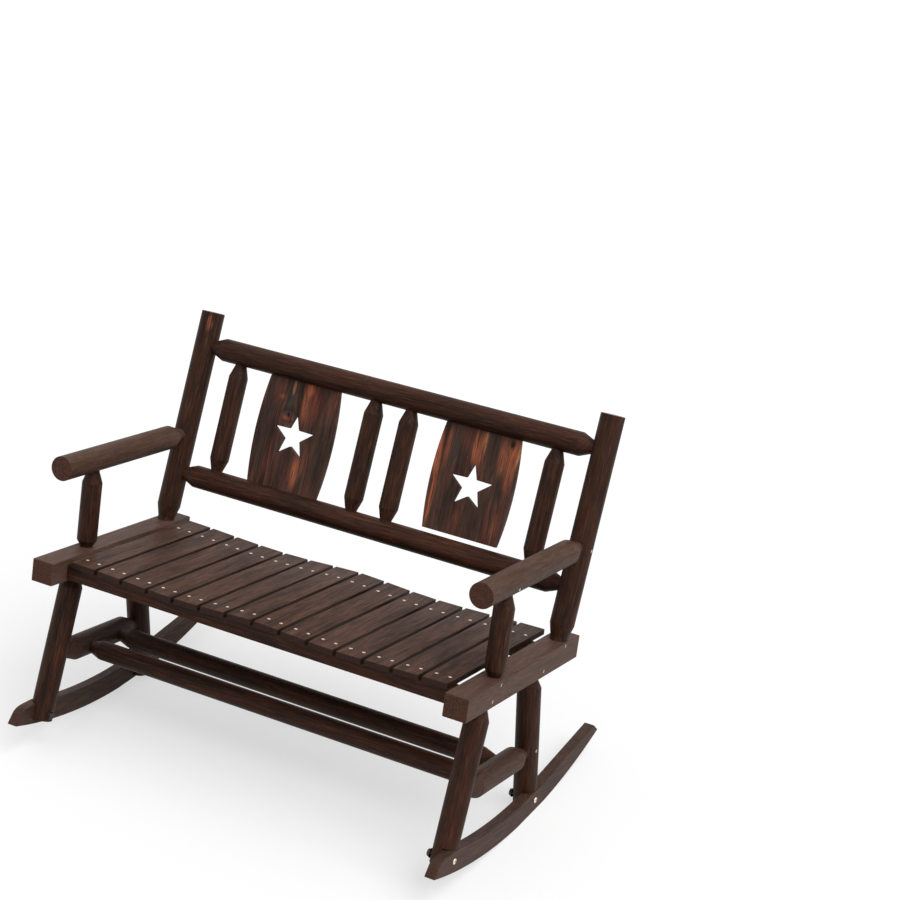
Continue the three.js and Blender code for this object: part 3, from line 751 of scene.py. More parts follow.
def side_logs(side, sign):
    """The logs of one side of the bench."""
    logs = settings("bench_logs")
    bench = bench_frame()
    found = {}
    post_lift = tip_lift(logs.post_point, logs.back_lean)
    found[f"back_post_{side}"] = Log(
        back_frame() @ slide(sign * post_x(), 0, post_lift),
        logs.post_diameter,
        logs.post_length - post_lift,
        foot=logs.post_point,
    )
    for leg in LEGS:
        foot, run, lean = leg_layout(leg)
        found[f"leg_{leg}_{side}"] = Log(
            bench @ slide(sign * beam_x(), foot.x, foot.y) @ turn(-lean, "X"),
            logs.leg_diameter,
            run,
            head=logs.leg_point,
        )
    post_front = logs.post_foot + logs.arm_height * math.tan(logs.back_lean)
    post_front -= logs.post_diameter / 2 / math.cos(logs.back_lean)
    found[f"arm_{side}"] = Log(
        bench @ slide(sign * post_x(), logs.arm_front, logs.arm_height) @ ALONG_Y,
        logs.arm_diameter,
        post_front - tip_lift(logs.arm_point, logs.back_lean) - logs.arm_front,
        head=logs.arm_point,
    )
    found[f"arm_post_{side}"] = Log(
        bench @ slide(sign * post_x(), logs.arm_post_back, FIT_GAP),
        logs.arm_post_diameter,
        logs.arm_height - logs.arm_diameter / 2 - 2 * FIT_GAP,
        foot=logs.arm_post_foot,
        head=logs.arm_post_head,
    )
    drop = logs.stretcher_drop
    half = logs.leg_diameter / 2
    start = leg_axis("front", drop) + half / math.cos(logs.front_lean)
    end = leg_axis("rear", drop) - half / math.cos(logs.rear_lean)
    start += tip_lift(logs.side_point, logs.front_lean)
    end -= tip_lift(logs.side_point, logs.rear_lean)
    found[f"side_stretcher_{side}"] = Log(
        bench @ slide(sign * beam_x(), start, -drop) @ ALONG_Y,
        logs.side_diameter,
        end - start,
        foot=logs.side_point,
        head=logs.side_point,
    )
    return found


def cross_logs():
    """The logs that run across the bench, from their left to their right end, and the spindles."""
    logs = settings("bench_logs")
    found = {}
    rail_tip = post_x() - logs.post_diameter / 2 - FIT_GAP
    for name, diameter, height in (
        ("back_rail_upper", logs.upper_diameter, logs.upper_rail),
        ("back_rail_lower", logs.lower_diameter, logs.lower_rail),
    ):
        place = back_frame() @ slide(-rail_tip, 0, height) @ ALONG_X
        found[name] = Log(place, diameter, 2 * rail_tip, foot=logs.rail_point, head=logs.rail_point)
    tip = beam_x() - logs.side_diameter / 2 - FIT_GAP
    for name, back in (("front", logs.long_front), ("rear", logs.long_rear)):
        place = bench_frame() @ slide(-tip, back, -logs.stretcher_drop) @ ALONG_X
        found[f"long_stretcher_{name}"] = Log(
            place, logs.long_diameter, 2 * tip, foot=logs.thin_point, head=logs.thin_point
        )
    low, high = rail_edges()
    places = (-logs.spindle_outer, -logs.spindle_inner, logs.spindle_inner, logs.spindle_outer)
    for name, x in zip(SPINDLES, places):
        found[name] = Log(
            back_frame() @ slide(x, 0, low + FIT_GAP),
            logs.spindle_diameter,
            high - low - 2 * FIT_GAP,
            foot=logs.thin_point,
            head=logs.thin_point,
        )
    return found


def log_layout():
    """Every log of the bench by its node's name."""
    found = cross_logs()
    for side, sign in SIDES.items():
        found.update(side_logs(side, sign))
    return found


def socket_layout():
    """The tenons that each piece has sockets for: each one's log, and which end it is."""
    found = {
        "back_rail_upper": [(name, HEAD) for name in SPINDLES],
        "back_rail_lower": [(name, FOOT) for name in SPINDLES],
    }
    for side, end in (("left", FOOT), ("right", HEAD)):
        found[f"beam_{side}"] = [
            (f"leg_front_{side}", HEAD),
            (f"leg_rear_{side}", HEAD),
            (f"arm_post_{side}", FOOT),
            (f"back_post_{side}", FOOT),
        ]
        found[f"back_post_{side}"] = [
            ("back_rail_upper", end),
            ("back_rail_lower", end),
            (f"arm_{side}", HEAD),
        ]
        found[f"arm_{side}"] = [(f"arm_post_{side}", HEAD)]
        found[f"leg_front_{side}"] = [(f"side_stretcher_{side}", FOOT)]
        found[f"leg_rear_{side}"] = [(f"side_stretcher_{side}", HEAD)]
        found[f"side_stretcher_{side}"] = [
            ("long_stretcher_front", end),
            ("long_stretcher_rear", end),
        ]
    return found


def seat_half_width():
    seat = settings("bench_seat")
    return (seat.slat_count * (seat.slat_width + seat.slat_gap) - seat.slat_gap) / 2


def seat_top(x):
    """The height of the slats' tops, which dips in a scoop for each sitter."""
    seat = settings("bench_seat")
    half = seat_half_width()
    low = seat.seat_low_share * half
    across = min(abs(x), half)
    part = across / low if across < low else (half - across) / (half - low)
    dip = math.sin(QUARTER * part**seat.seat_round_power) ** 2
    return seat.slat_proud - seat.seat_dip * dip


def slat_layout(index):
    """A slat's middle in x, its top's height there, and its tilt."""
    seat = settings("bench_seat")
    x = index * (seat.slat_width + seat.slat_gap) + seat.slat_width / 2 - seat_half_width()
    left = seat_top(x - seat.slat_width / 2)
    right = seat_top(x + seat.slat_width / 2)
    return x, (left + right) / 2, math.atan2(right - left, seat.slat_width)


def slat_frame(index):
    """A slat's own frame. Its origin is on its top at its front end, and y runs back along it."""
    x, z, tilt = slat_layout(index)
    return bench_frame() @ slide(x, settings("bench_seat").slat_front, z) @ turn(-tilt, "Y")


def bolt_layout(leg, sign):
    """A rocker bolt's place on the rocker's outer face, in the bench."""
    metal = settings("bench_metal")
    foot, _, lean = leg_layout(leg)
    y = foot.x + metal.bolt_rise * math.sin(lean) - metal.bolt_forward
    z = foot.y + metal.bolt_rise * math.cos(lean)
    return Vector((sign * settings("bench_seat").bench_width / 2, y, z))


@dataclass
class Screw:
    """A locking screw: its frame has z out of the wood, and it goes into the named pieces."""

    place: Matrix
    pieces: tuple


def facing_out(sign, x, y, z):
    """A frame on a side's outer surface, with z out of it."""
    return bench_frame() @ slide(sign * x, y, z) @ turn(sign * QUARTER, "Y")


def surface_x(centre_x, radius, off_axis):
    """How far out a round log's surface is, off its axis by a height."""
    return centre_x + math.sqrt(radius**2 - off_axis**2)


def beam_screws(side, sign):
    """The screws in one beam's outer face, which lock the tenons in it."""
    logs = settings("bench_logs")
    face = settings("bench_seat").bench_width / 2
    found = {}
    for name, (back, drop) in SCREW_PLACES.items():
        axes = {
            "leg_screw_front": leg_axis("front", drop),
            "leg_screw_rear": leg_axis("rear", drop),
            "arm_post_screw": logs.arm_post_back,
            "back_post_screw": logs.post_foot - drop * math.tan(logs.back_lean),
        }
        log = name.replace("_screw", "")
        place = facing_out(sign, face, axes[name] + back, -drop)
        found[f"{name}_{side}"] = Screw(place, (f"beam_{side}", f"{log}_{side}"))
    return found


def screw_layout():
    """Every locking screw. Each side's last two, in the post and rear leg, stand for no node."""
    logs = settings("bench_logs")
    found = {}
    for side, sign in SIDES.items():
        found.update(beam_screws(side, sign))
        arm_surface = surface_x(post_x(), logs.arm_diameter / 2, ARM_SCREW_DROP)
        arm_y = logs.arm_post_back + ARM_SCREW_BACK
        place = facing_out(sign, arm_surface, arm_y, logs.arm_height - ARM_SCREW_DROP)
        found[f"arm_screw_{side}"] = Screw(place, (f"arm_{side}", f"arm_post_{side}"))
        post_y = logs.post_foot + UPPER_POST_SCREW_RISE * math.tan(logs.back_lean)
        post_surface = post_x() + logs.post_diameter / 2
        place = facing_out(sign, post_surface, post_y, UPPER_POST_SCREW_RISE)
        found[f"upper_post_screw_{side}"] = Screw(place, (f"back_post_{side}",))
        leg_y = leg_axis("rear", LOWER_LEG_SCREW_DROP) + LOWER_LEG_SCREW_BACK
        leg_surface = surface_x(beam_x(), logs.leg_diameter / 2, LOWER_LEG_SCREW_BACK)
        place = facing_out(sign, leg_surface, leg_y, -LOWER_LEG_SCREW_DROP)
        found[f"lower_leg_screw_{side}"] = Screw(place, (f"leg_rear_{side}",))
    return found


# Modelling


def clear_selection():
    bpy.ops.object.select_all(action="DESELECT")


def make_active(piece):
    clear_selection()
    piece.select_set(True)
    bpy.context.view_layer.objects.active = piece


def turned_solid(stations, facets):
    """Turns a closed solid about z. A disc is drawn out from station to station, each a radius and
    a height."""
    clear_selection()
    (radius, height), *rest = stations
    bpy.ops.mesh.primitive_circle_add(
        vertices=facets, radius=radius, fill_type="NGON", location=(0, 0, height)
    )
    bpy.ops.object.mode_set(mode="EDIT")
    for next_radius, next_height in rest:
        bpy.ops.mesh.extrude_region_move(
            TRANSFORM_OT_translate={"value": (0, 0, next_height - height)}
        )
        scale = next_radius / radius
        if scale != 1:
            bpy.ops.transform.resize(value=(scale, scale, 1), center_override=(0, 0, next_height))
        radius, height = next_radius, next_height
    bpy.ops.mesh.select_all(action="SELECT")
    bpy.ops.mesh.normals_make_consistent(inside=False)
    bpy.ops.object.mode_set(mode="OBJECT")
    bpy.ops.object.transform_apply(location=True, rotation=True, scale=True)
    return bpy.context.object


def sawn_solid(outline, thickness):
    """Saws a closed board from an outline in x and y, and gives it its thickness along z."""
    clear_selection()
    bpy.ops.mesh.primitive_circle_add(vertices=len(outline), fill_type="NOTHING")
    board = bpy.context.object
    for vertex, (x, y) in zip(board.data.vertices, outline):
        vertex.co = (x, y, 0)
    bpy.ops.object.mode_set(mode="EDIT")
    bpy.ops.mesh.select_all(action="SELECT")
    bpy.ops.mesh.edge_face_add()
    bpy.ops.mesh.extrude_region_move(TRANSFORM_OT_translate={"value": (0, 0, thickness)})
    bpy.ops.mesh.select_all(action="SELECT")
    bpy.ops.mesh.normals_make_consistent(inside=False)
    bpy.ops.object.mode_set(mode="OBJECT")
    return board


def squared_solid(width, depth, tall):
    """A squared block about its own middle."""
    clear_selection()
    bpy.ops.mesh.primitive_cube_add(size=1)
    block = bpy.context.object
    block.scale = (width, depth, tall)
    bpy.ops.object.transform_apply(location=True, rotation=True, scale=True)
    return block


def ease_edges(piece, width, limit=EDGE_ANGLE, segments=EDGE_STEPS):
    """Rounds off the edges that are sharper than a limit, as a sander or a router does."""
    make_active(piece)
    bevel = piece.modifiers.new("Eased edges", "BEVEL")
    bevel.width = width
    bevel.segments = segments
    bevel.limit_method = "ANGLE"
    bevel.angle_limit = limit
    bpy.ops.object.modifier_apply(modifier=bevel.name)


def put(piece, place):
    """Lays a piece where it belongs, with its place in its mesh."""
    make_active(piece)
    piece.matrix_world = place @ piece.matrix_world
    bpy.ops.object.transform_apply(location=True, rotation=True, scale=True)
    return piece


def combine(piece, other, operation):
    """Joins another solid to a piece or cuts it out, and clears the other away."""
    make_active(piece)
    boolean = piece.modifiers.new("Solid", "BOOLEAN")
    boolean.operation = operation
    boolean.solver = "EXACT"
    boolean.object = other
    bpy.ops.object.modifier_apply(modifier=boolean.name)
    bpy.data.objects.remove(other)


def drill(piece, cutters):
    """Cuts every cutter out of a piece."""
    for cutter in cutters:
        combine(piece, cutter, "DIFFERENCE")


def joined(pieces):
    """Joins pieces as one object, each still a closed solid of its own."""
    clear_selection()
    for piece in pieces:
        piece.select_set(True)
    bpy.context.view_layer.objects.active = pieces[0]
    bpy.ops.object.join()
    return bpy.context.object


def copies(model, places):
    """Copies a model to each place, every copy with a mesh of its own, and clears it away."""
    found = []
    for place in places:
        make_active(model)
        bpy.ops.object.duplicate(linked=False)
        found.append(put(bpy.context.object, place))
    bpy.data.objects.remove(model)
    return found


def check_closed(piece):
    """Stops the script where a piece has an open edge."""
    mesh = bmesh.new()
    mesh.from_mesh(piece.data)
    open_edges = sum(not edge.is_manifold for edge in mesh.edges)
    volume = mesh.calc_volume(signed=True)
    mesh.free()
    if open_edges or volume <= 0:
        raise RuntimeError(f"{piece.name} has {open_edges} open edges and a volume of {volume}")


def check_place(piece, node):
    """Stops the script where a piece doesn't fill the place of the node that it stands for."""
    corners = [piece.matrix_world @ vertex.co for vertex in piece.data.vertices]
    for axis in range(3):
        values = [corner[axis] for corner in corners]
        wanted = [end[axis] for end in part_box(node)]
        for found, right in zip((min(values), max(values)), wanted):
            if abs(found - right) > BOX_TOLERANCE:
                raise RuntimeError(f"{piece.name} is off {node} by {found - right} on axis {axis}")


def name_piece(piece, name):
    """Names a piece and its mesh."""
    piece.name = name
    piece.data.name = name


def set_grain(piece, place, cut, along=None):
    """Stores where each point of a named piece lay in the tree, with z along the grain.

    The cut says how far off the pith lay and how far it leans, and the piece's name varies both.
    A piece is cut at a height of its own up the tree, unless that height is given.
    """
    offsets, lean = PITHS[cut]
    chance = random.Random(piece.name)
    pith_x, pith_y = (
        offset * chance.uniform(*PITH_SPREAD_SHARES) * chance.choice((-1, 1))
        for offset in offsets
    )
    lean_x, lean_y = (lean * chance.uniform(-1, 1) for _ in range(2))
    if along is None:
        along = chance.uniform(*TREE_HEIGHTS)
    mesh = piece.data
    points = np.empty(len(mesh.vertices) * 3, np.float32)
    mesh.vertices.foreach_get("co", points)
    inverse = np.array(place.inverted())
    local = points.reshape(-1, 3) @ inverse[:3, :3].T + inverse[:3, 3]
    local[:, 0] += pith_x + lean_x * local[:, 2]
    local[:, 1] += pith_y + lean_y * local[:, 2]
    local[:, 2] += along
    grain = mesh.attributes.new("grain", "FLOAT_VECTOR", "POINT")
    grain.data.foreach_set("vector", local.astype(np.float32).ravel())
    normals = np.empty(len(mesh.polygons) * 3, np.float32)
    mesh.polygons.foreach_get("normal", normals)
    axis = np.array(place.to_3x3() @ Vector((0, 0, 1)))
    ends = np.abs(normals.reshape(-1, 3) @ axis)
    sawn = mesh.attributes.new("sawn_end", "FLOAT", "FACE")
    sawn.data.foreach_set("value", ends.astype(np.float32))


def mark_painted_gap_shade(piece, in_shade):
    """Marks the faces in gaps and cuts with painted shade, which darkens them towards black. A test
    picks them.
    """
    marked = piece.data.attributes.new("unbrushed", "FLOAT", "FACE")
    for face, mark in zip(piece.data.polygons, marked.data):
        mark.value = GAP_SHADE_SHARE if in_shade(face) else 0


def finish_piece(piece, finish, node=None):
    """Gives a piece its finish and its body, and lets it stand for its node."""
    make_active(piece)
    bpy.ops.object.shade_smooth_by_angle(angle=SMOOTH_ANGLE)
    piece.data.materials.clear()
    piece.data.materials.append(material_named(finish))
    check_closed(piece)
    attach(piece, BODY)
    if node:
        check_place(piece, node)
        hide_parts(node)


# Materials


def linear(hex_colour):
    """A linear colour from an sRGB hex value."""
    values = [int(hex_colour[i : i + 2], 16) / 255 for i in (1, 3, 5)]
    return (*[v / 12.92 if v <= 0.04045 else ((v + 0.055) / 1.055) ** 2.4 for v in values], 1)


def grey(value):
    return (value, value, value, 1)


def add(tree, kind, inputs=None, stops=None, **properties):
    """Adds a node with its properties, its inputs as values or links, and a ramp's stops."""
    made = tree.nodes.new(kind)
    for key, value in properties.items():
        setattr(made, key, value)
    for key, value in (inputs or {}).items():
        if isinstance(value, bpy.types.NodeSocket):
            tree.links.new(value, made.inputs[key])
        else:
            made.inputs[key].default_value = value
    if stops:
        elements = made.color_ramp.elements
        while len(elements) < len(stops):
            elements.new(1)
        for element, (position, hue) in zip(elements, stops):
            element.position = position
            element.color = hue
    return made


def new_material(name):
    material = bpy.data.materials.new(name)
    material.use_nodes = True
    material.node_tree.nodes.clear()
    return material


def coated(tree, body, coats):
    """Lays coats over a colour. Each is how it blends, how strongly, and its colour."""
    for blend, strength, coat in coats:
        body = add(
            tree,
            "ShaderNodeMix",
            {MIX_SHARE: strength, MIX_UNDER: body, MIX_OVER: coat},
            data_type="RGBA",
            blend_type=blend,
        ).outputs[MIX_RESULT]
    return body


def streaks(tree, vector, width, run, detail, shift):
    """Noise drawn out along the grain, in spots of about the given width and length."""
    stretched = add(
        tree,
        "ShaderNodeMapping",
        {"Vector": vector, "Location": (shift, 0, 0), "Scale": (1 / width, 1 / width, 1 / run)},
    ).outputs["Vector"]
    return add(
        tree,
        "ShaderNodeTexNoise",
        {"Vector": stretched, "Scale": 1, "Detail": detail, "Roughness": 0.6},
    ).outputs["Fac"]


def bent_grain(tree, grain):
    """The grain with the slow bends that a tree grows with."""
    width, run = GROWTH_BEND
    stretched = add(
        tree,
        "ShaderNodeMapping",
        {"Vector": grain, "Scale": (1 / width, 1 / width, 1 / run)},
    ).outputs["Vector"]
    noise = add(
        tree, "ShaderNodeTexNoise", {"Vector": stretched, "Scale": 1, "Detail": 1}
    ).outputs["Color"]
    centred = add(
        tree, "ShaderNodeVectorMath", {0: noise, 1: (0.5, 0.5, 0.5)}, operation="SUBTRACT"
    ).outputs[0]
    bend = add(
        tree,
        "ShaderNodeVectorMath",
        {0: centred, 1: (BEND_REACH, BEND_REACH, 0)},
        operation="MULTIPLY",
    ).outputs[0]
    return add(tree, "ShaderNodeVectorMath", {0: grain, 1: bend}).outputs[0]


def round_knots(tree, vector, knots):
    """Leads the grain round each knot, as water round a stone, and returns it with how dark the
    knots make it."""
    darkness = 0
    fade_start, fade_end = KNOT_FADE_SHARES
    for x, z, radius, core in knots:
        offset = add(
            tree, "ShaderNodeVectorMath", {0: vector, 1: (x, 0, z)}, operation="SUBTRACT"
        ).outputs[0]
        flat = add(
            tree,
            "ShaderNodeVectorMath",
            {0: offset, 1: (1, 0, KNOT_SQUASH_SHARE)},
            operation="MULTIPLY",
        ).outputs[0]
        distance = add(
            tree, "ShaderNodeVectorMath", {0: flat}, operation="LENGTH"
        ).outputs["Value"]
        ratio = add(
            tree, "ShaderNodeMath", {0: radius, 1: distance}, operation="DIVIDE"
        ).outputs[0]
        squared = add(tree, "ShaderNodeMath", {0: ratio, 1: 2}, operation="POWER").outputs[0]
        capped = add(
            tree, "ShaderNodeMath", {0: squared, 1: KNOT_PULL_SHARE}, operation="MINIMUM"
        ).outputs[0]
        pull = add(tree, "ShaderNodeMath", {0: capped, 1: -1}, operation="MULTIPLY").outputs[0]
        aside = add(
            tree, "ShaderNodeVectorMath", {0: offset, "Scale": pull}, operation="SCALE"
        ).outputs[0]
        sideways = add(
            tree, "ShaderNodeVectorMath", {0: aside, 1: (1, 0, 0)}, operation="MULTIPLY"
        ).outputs[0]
        vector = add(tree, "ShaderNodeVectorMath", {0: vector, 1: sideways}).outputs[0]
        shade = add(
            tree,
            "ShaderNodeMapRange",
            {
                "Value": distance,
                "From Min": core * fade_start,
                "From Max": core * fade_end,
                "To Min": 1,
                "To Max": 0,
            },
        ).outputs[0]
        darkness = add(
            tree, "ShaderNodeMath", {0: shade, 1: darkness}, operation="MAXIMUM"
        ).outputs[0]
    return vector, darkness


def patches(tree, vector, broken, marks):
    """Soft long patches of colour along the grain, as coats that a streaky noise breaks up."""
    colours = settings("bench_finish")
    fade_start, fade_end = PATCH_FADE_SHARES
    coats = []
    for tint, x, z, half_width, half_run, strength in marks:
        offset = add(
            tree,
            "ShaderNodeVectorMath",
            {0: vector, 1: (x * MM, 0, z * MM)},
            operation="SUBTRACT",
        ).outputs[0]
        size = (1 / (half_width * MM), 0, 1 / (half_run * MM))
        scaled = add(
            tree, "ShaderNodeVectorMath", {0: offset, 1: size}, operation="MULTIPLY"
        ).outputs[0]
        distance = add(
            tree, "ShaderNodeVectorMath", {0: scaled}, operation="LENGTH"
        ).outputs["Value"]
        spread = add(
            tree,
            "ShaderNodeMapRange",
            {
                "Value": distance,
                "From Min": fade_start,
                "From Max": fade_end,
                "To Min": strength,
                "To Max": 0,
            },
            interpolation_type="SMOOTHSTEP",
        ).outputs[0]
        cover = add(
            tree, "ShaderNodeMath", {0: spread, 1: broken}, operation="MULTIPLY"
        ).outputs[0]
        coats.append(("MIX", cover, linear(getattr(colours, tint))))
    return coats


def wood_patterns(tree, wood, raw, grain):
    """The patterns that the wood's layers follow. Only the sawn ends' spots ignore its bends."""
    found = {}
    for key, (width, run, detail, shift) in STREAKS.items():
        found[key] = streaks(tree, grain, width, run, detail, wood.shift + shift)
    found["spots"] = add(
        tree, "ShaderNodeTexNoise", {"Vector": raw, "Scale": 1 / END_SPOT, "Detail": 4}
    ).outputs["Fac"]
    found["rings"] = add(
        tree,
        "ShaderNodeTexWave",
        {"Vector": grain, "Scale": WAVE_LENGTH / YEAR_RING, "Distortion": 3, "Detail": 2},
        wave_type="RINGS",
        rings_direction="Z",
        wave_profile="SAW",
    ).outputs["Fac"]
    found["ends"] = add(tree, "ShaderNodeAttribute", attribute_name="sawn_end").outputs["Fac"]
    return found


def layer_shades(tree, wood, patterns):
    """How strong each layer of the wood is, as greys that follow the patterns."""
    layers = {
        **LAYERS,
        "spared": ("zones", ((0.38, 1 - ZONE_BURN_SHARE * wood.burn_share), (0.58, 1))),
        "burnt": ("bands", ((0.34, 1 - BAND_BURN_SHARE * wood.burn_share), (0.48, 1))),
        "red": ("bands", ((0.46, 0), (0.64, wood.red_share))),
        "ochre": ("clouds", ((0.44, 0), (0.6, wood.ochre_share))),
    }
    found = {}
    for layer, (pattern, levels) in layers.items():
        stops = [(level, grey(strength)) for level, strength in levels]
        ramp = add(tree, "ShaderNodeValToRGB", {"Fac": patterns[pattern]}, stops=stops)
        found[layer] = ramp.outputs["Color"]
    return found


def wood_colour(tree, wood, grain, knot, shades):
    """The wood's colour: brown and red over the char, then patches, fine lines, painted shade in
    gaps and sawn ends.
    """
    colours = settings("bench_finish")
    char, ochre, tan = (linear(hue) for hue in (colours.char, colours.ochre, colours.tan))
    brown, red, end_wood = (
        linear(getattr(colours, hue)) for hue in (wood.brown, wood.red, wood.end)
    )
    broken = add(
        tree, "ShaderNodeMath", {0: shades["broken"], 1: shades["fine"]}, operation="MULTIPLY"
    ).outputs[0]
    unbrushed = add(tree, "ShaderNodeAttribute", attribute_name="unbrushed").outputs["Fac"]
    end_coats = [("MULTIPLY", END_GRAIN_SHARE, shades[layer]) for layer in ("ring", "spot")]
    coats = [
        ("MIX", shades["spared"], brown),
        ("MULTIPLY", 1, shades["burnt"]),
        ("MIX", shades["red"], red),
        ("MIX", shades["ochre"], ochre),
        *patches(tree, grain, broken, wood.marks),
        ("MIX", shades["tan"], tan),
        ("MULTIPLY", LINE_SHARE * wood.burn_share, shades["line"]),
        ("MULTIPLY", RING_SHARE * wood.burn_share, shades["ring"]),
        ("MULTIPLY", FIBRE_SHARE, shades["fibre"]),
        # Painted shade: faces in the gaps between slats and in the star's cut are mixed towards
        # char
        ("MIX", unbrushed, char),
        ("MIX", shades["sawn"], coated(tree, end_wood, end_coats)),
        ("MIX", knot, char),
    ]
    return coated(tree, char, coats)


def fir(name, wood):
    """Carbonised fir: the soft wood between the rings is burnt away to dark lines, red heartwood
    shows in streaks where it burnt least, brushing leaves fine tan lines, and thin oil greys what
    faces the light."""
    material = new_material(name)
    tree = material.node_tree
    raw = add(tree, "ShaderNodeAttribute", attribute_name="grain").outputs["Vector"]
    grain, knot = round_knots(tree, bent_grain(tree, raw), wood.knots)
    patterns = wood_patterns(tree, wood, raw, grain)
    shades = layer_shades(tree, wood, patterns)
    lines, fibres = patterns["lines"], patterns["fibres"]
    relief = add(tree, "ShaderNodeMath", {0: lines, 1: fibres}).outputs[0]
    bump = add(
        tree, "ShaderNodeBump", {"Height": relief, "Strength": 0.6, "Distance": BRUSHED_DEPTH}
    ).outputs["Normal"]
    gloss = add(
        tree,
        "ShaderNodeMapRange",
        {"Value": lines, "To Min": LINE_ROUGHNESS, "To Max": RIDGE_ROUGHNESS},
    ).outputs[0]
    surface = add(
        tree,
        "ShaderNodeBsdfPrincipled",
        {
            "Base Color": wood_colour(tree, wood, grain, knot, shades),
            "Roughness": gloss,
            "Normal": bump,
            "IOR": 1.5,
            "Specular IOR Level": 0.14,
        },
    ).outputs["BSDF"]
    add(tree, "ShaderNodeOutputMaterial", {"Surface": surface})
    return material


def plated_steel(name, tint, roughness):
    """Zinc-plated steel: a bright skin with fine drawn marks, a little duller where it was
    handled."""
    skin = linear(getattr(settings("bench_finish"), tint))
    worn = (*(WORN_SHARE * value for value in skin[:3]), 1)
    material = new_material(name)
    tree = material.node_tree
    place = add(tree, "ShaderNodeTexCoord").outputs["Object"]
    marks = add(
        tree, "ShaderNodeTexNoise", {"Vector": place, "Scale": 1 / DRAWN_MARK, "Detail": 3}
    ).outputs["Fac"]
    shade = add(
        tree, "ShaderNodeValToRGB", {"Fac": marks}, stops=[(0.35, skin), (0.7, worn)]
    ).outputs["Color"]
    dull = add(
        tree,
        "ShaderNodeMapRange",
        {
            "Value": marks,
            "To Min": roughness + GLOSSY_SIDE,
            "To Max": roughness + DULL_SIDE,
        },
    ).outputs[0]
    bump = add(
        tree, "ShaderNodeBump", {"Height": marks, "Strength": 0.2, "Distance": DRAWN_DEPTH}
    ).outputs["Normal"]
    surface = add(
        tree,
        "ShaderNodeBsdfPrincipled",
        {"Base Color": shade, "Metallic": 1, "Roughness": dull, "Normal": bump},
    ).outputs["BSDF"]
    add(tree, "ShaderNodeOutputMaterial", {"Surface": surface})
    return material


def material_named(name):
    """A material of the bench, made when it is first asked for."""
    found = bpy.data.materials.get(name)
    if found:
        return found
    if name in WOODS:
        return fir(name, WOODS[name])
    return plated_steel(name, *PLATINGS[name])


def seen_by_eye(tree):
    """1 for rays from the camera and for what shines or shows through, and 0 for other light."""
    path = add(tree, "ShaderNodeLightPath").outputs
    seen = path["Is Camera Ray"]
    for ray in ("Is Glossy Ray", "Is Transmission Ray"):
        seen = add(tree, "ShaderNodeMath", {0: seen, 1: path[ray]}, operation="MAXIMUM").outputs[0]
    return seen


def studio_floor():
    """A matt white studio floor. It throws little light back up, so that undersides stay dark."""
    sizes = settings("bench_studio")
    material = new_material("white_studio_floor")
    tree = material.node_tree
    seen = seen_by_eye(tree)
    paint = coated(tree, grey(sizes.floor_bounce), [("MIX", seen, grey(sizes.floor_grey))])
    glow = add(
        tree, "ShaderNodeMath", {0: seen, 1: sizes.floor_glow}, operation="MULTIPLY"
    ).outputs[0]
    surface = add(
        tree,
        "ShaderNodeBsdfPrincipled",
        {
            "Base Color": paint,
            "Roughness": 0.9,
            "Specular IOR Level": 0,
            "Emission Color": grey(1),
            "Emission Strength": glow,
        },
    ).outputs["BSDF"]
    add(tree, "ShaderNodeOutputMaterial", {"Surface": surface})
    return material


# Pieces


def tenon_cutter(log, end):
    """The drill that makes the socket for a log's tenon."""
    tip, _, tenon = log.foot if end == FOOT else log.head
    depth = tenon + FIT_GAP
    low, high = (-depth, OVERRUN) if end == FOOT else (log.length - OVERRUN, log.length + depth)
    radius = tip / 2 + FIT_GAP
    return put(turned_solid([(radius, low), (radius, high)], LOG_FACETS), log.place)


def screw_cutter(screw):
    """The drill and countersink for a locking screw."""
    metal = settings("bench_metal")
    shank = metal.screw_diameter / 2 + FIT_GAP
    head = metal.screw_head / 2 + FIT_GAP
    end = -metal.screw_length - FIT_GAP
    neck = -metal.screw_head_depth - FIT_GAP
    stations = [(shank, end), (shank, neck), (head, 0), (head, OVERRUN)]
    return put(turned_solid(stations, SMALL_FACETS), screw.place)


def bolt_cutter(leg, sign):
    """The drill for a rocker bolt, which goes through the rocker and its leg."""
    metal = settings("bench_metal")
    radius = metal.bolt_diameter / 2 + FIT_GAP
    reach = settings("bench_logs").leg_diameter + settings("bench_rockers").thickness
    hole = turned_solid([(radius, -reach), (radius, OVERRUN)], SMALL_FACETS)
    x, y, z = bolt_layout(leg, sign)
    return put(hole, facing_out(sign, abs(x), y, z))


def arc(radius, start, end):
    """Points along an arc about the origin."""
    turns = [start + (end - start) * step / ARC_STEPS for step in range(ARC_STEPS + 1)]
    return [(radius * math.cos(amount), radius * math.sin(amount)) for amount in turns]


def rounded(start, corner, end, steps):
    """Points along the curve that rounds a corner, without its ends."""
    found = []
    for step in range(1, steps):
        part = step / steps
        found.append(tuple(start.lerp(corner, part).lerp(corner.lerp(end, part), part)))
    return found


def rocker_frame(x):
    """A frame about the rockers' centre. A board drawn in x and y is thick across the bench."""
    centre = rocker_centre()
    cycle = Matrix(((0, 0, 1, 0), (1, 0, 0, 0), (0, 1, 0, 0), (0, 0, 0, 1)))
    return bench_frame() @ slide(x, centre.x, centre.y) @ cycle


def lap_cutter(sign):
    """The saw cut that laps a leg onto a rocker, from the rocker's upper edge down."""
    rockers = settings("bench_rockers")
    width = settings("bench_logs").leg_diameter
    sweep = math.asin(rockers.tail_reach / rockers.radius)
    outer = arc(rockers.radius + width, DOWN - sweep, DOWN + sweep)
    inner = arc(rockers.radius - rockers.depth - FIT_GAP, DOWN + sweep, DOWN - sweep)
    block = put(sawn_solid(outer + inner, width), slide(0, 0, -width / 2))
    inner_x = settings("bench_seat").bench_width / 2 - rockers.thickness
    return put(block, rocker_frame(sign * (inner_x - FIT_GAP + width / 2)))


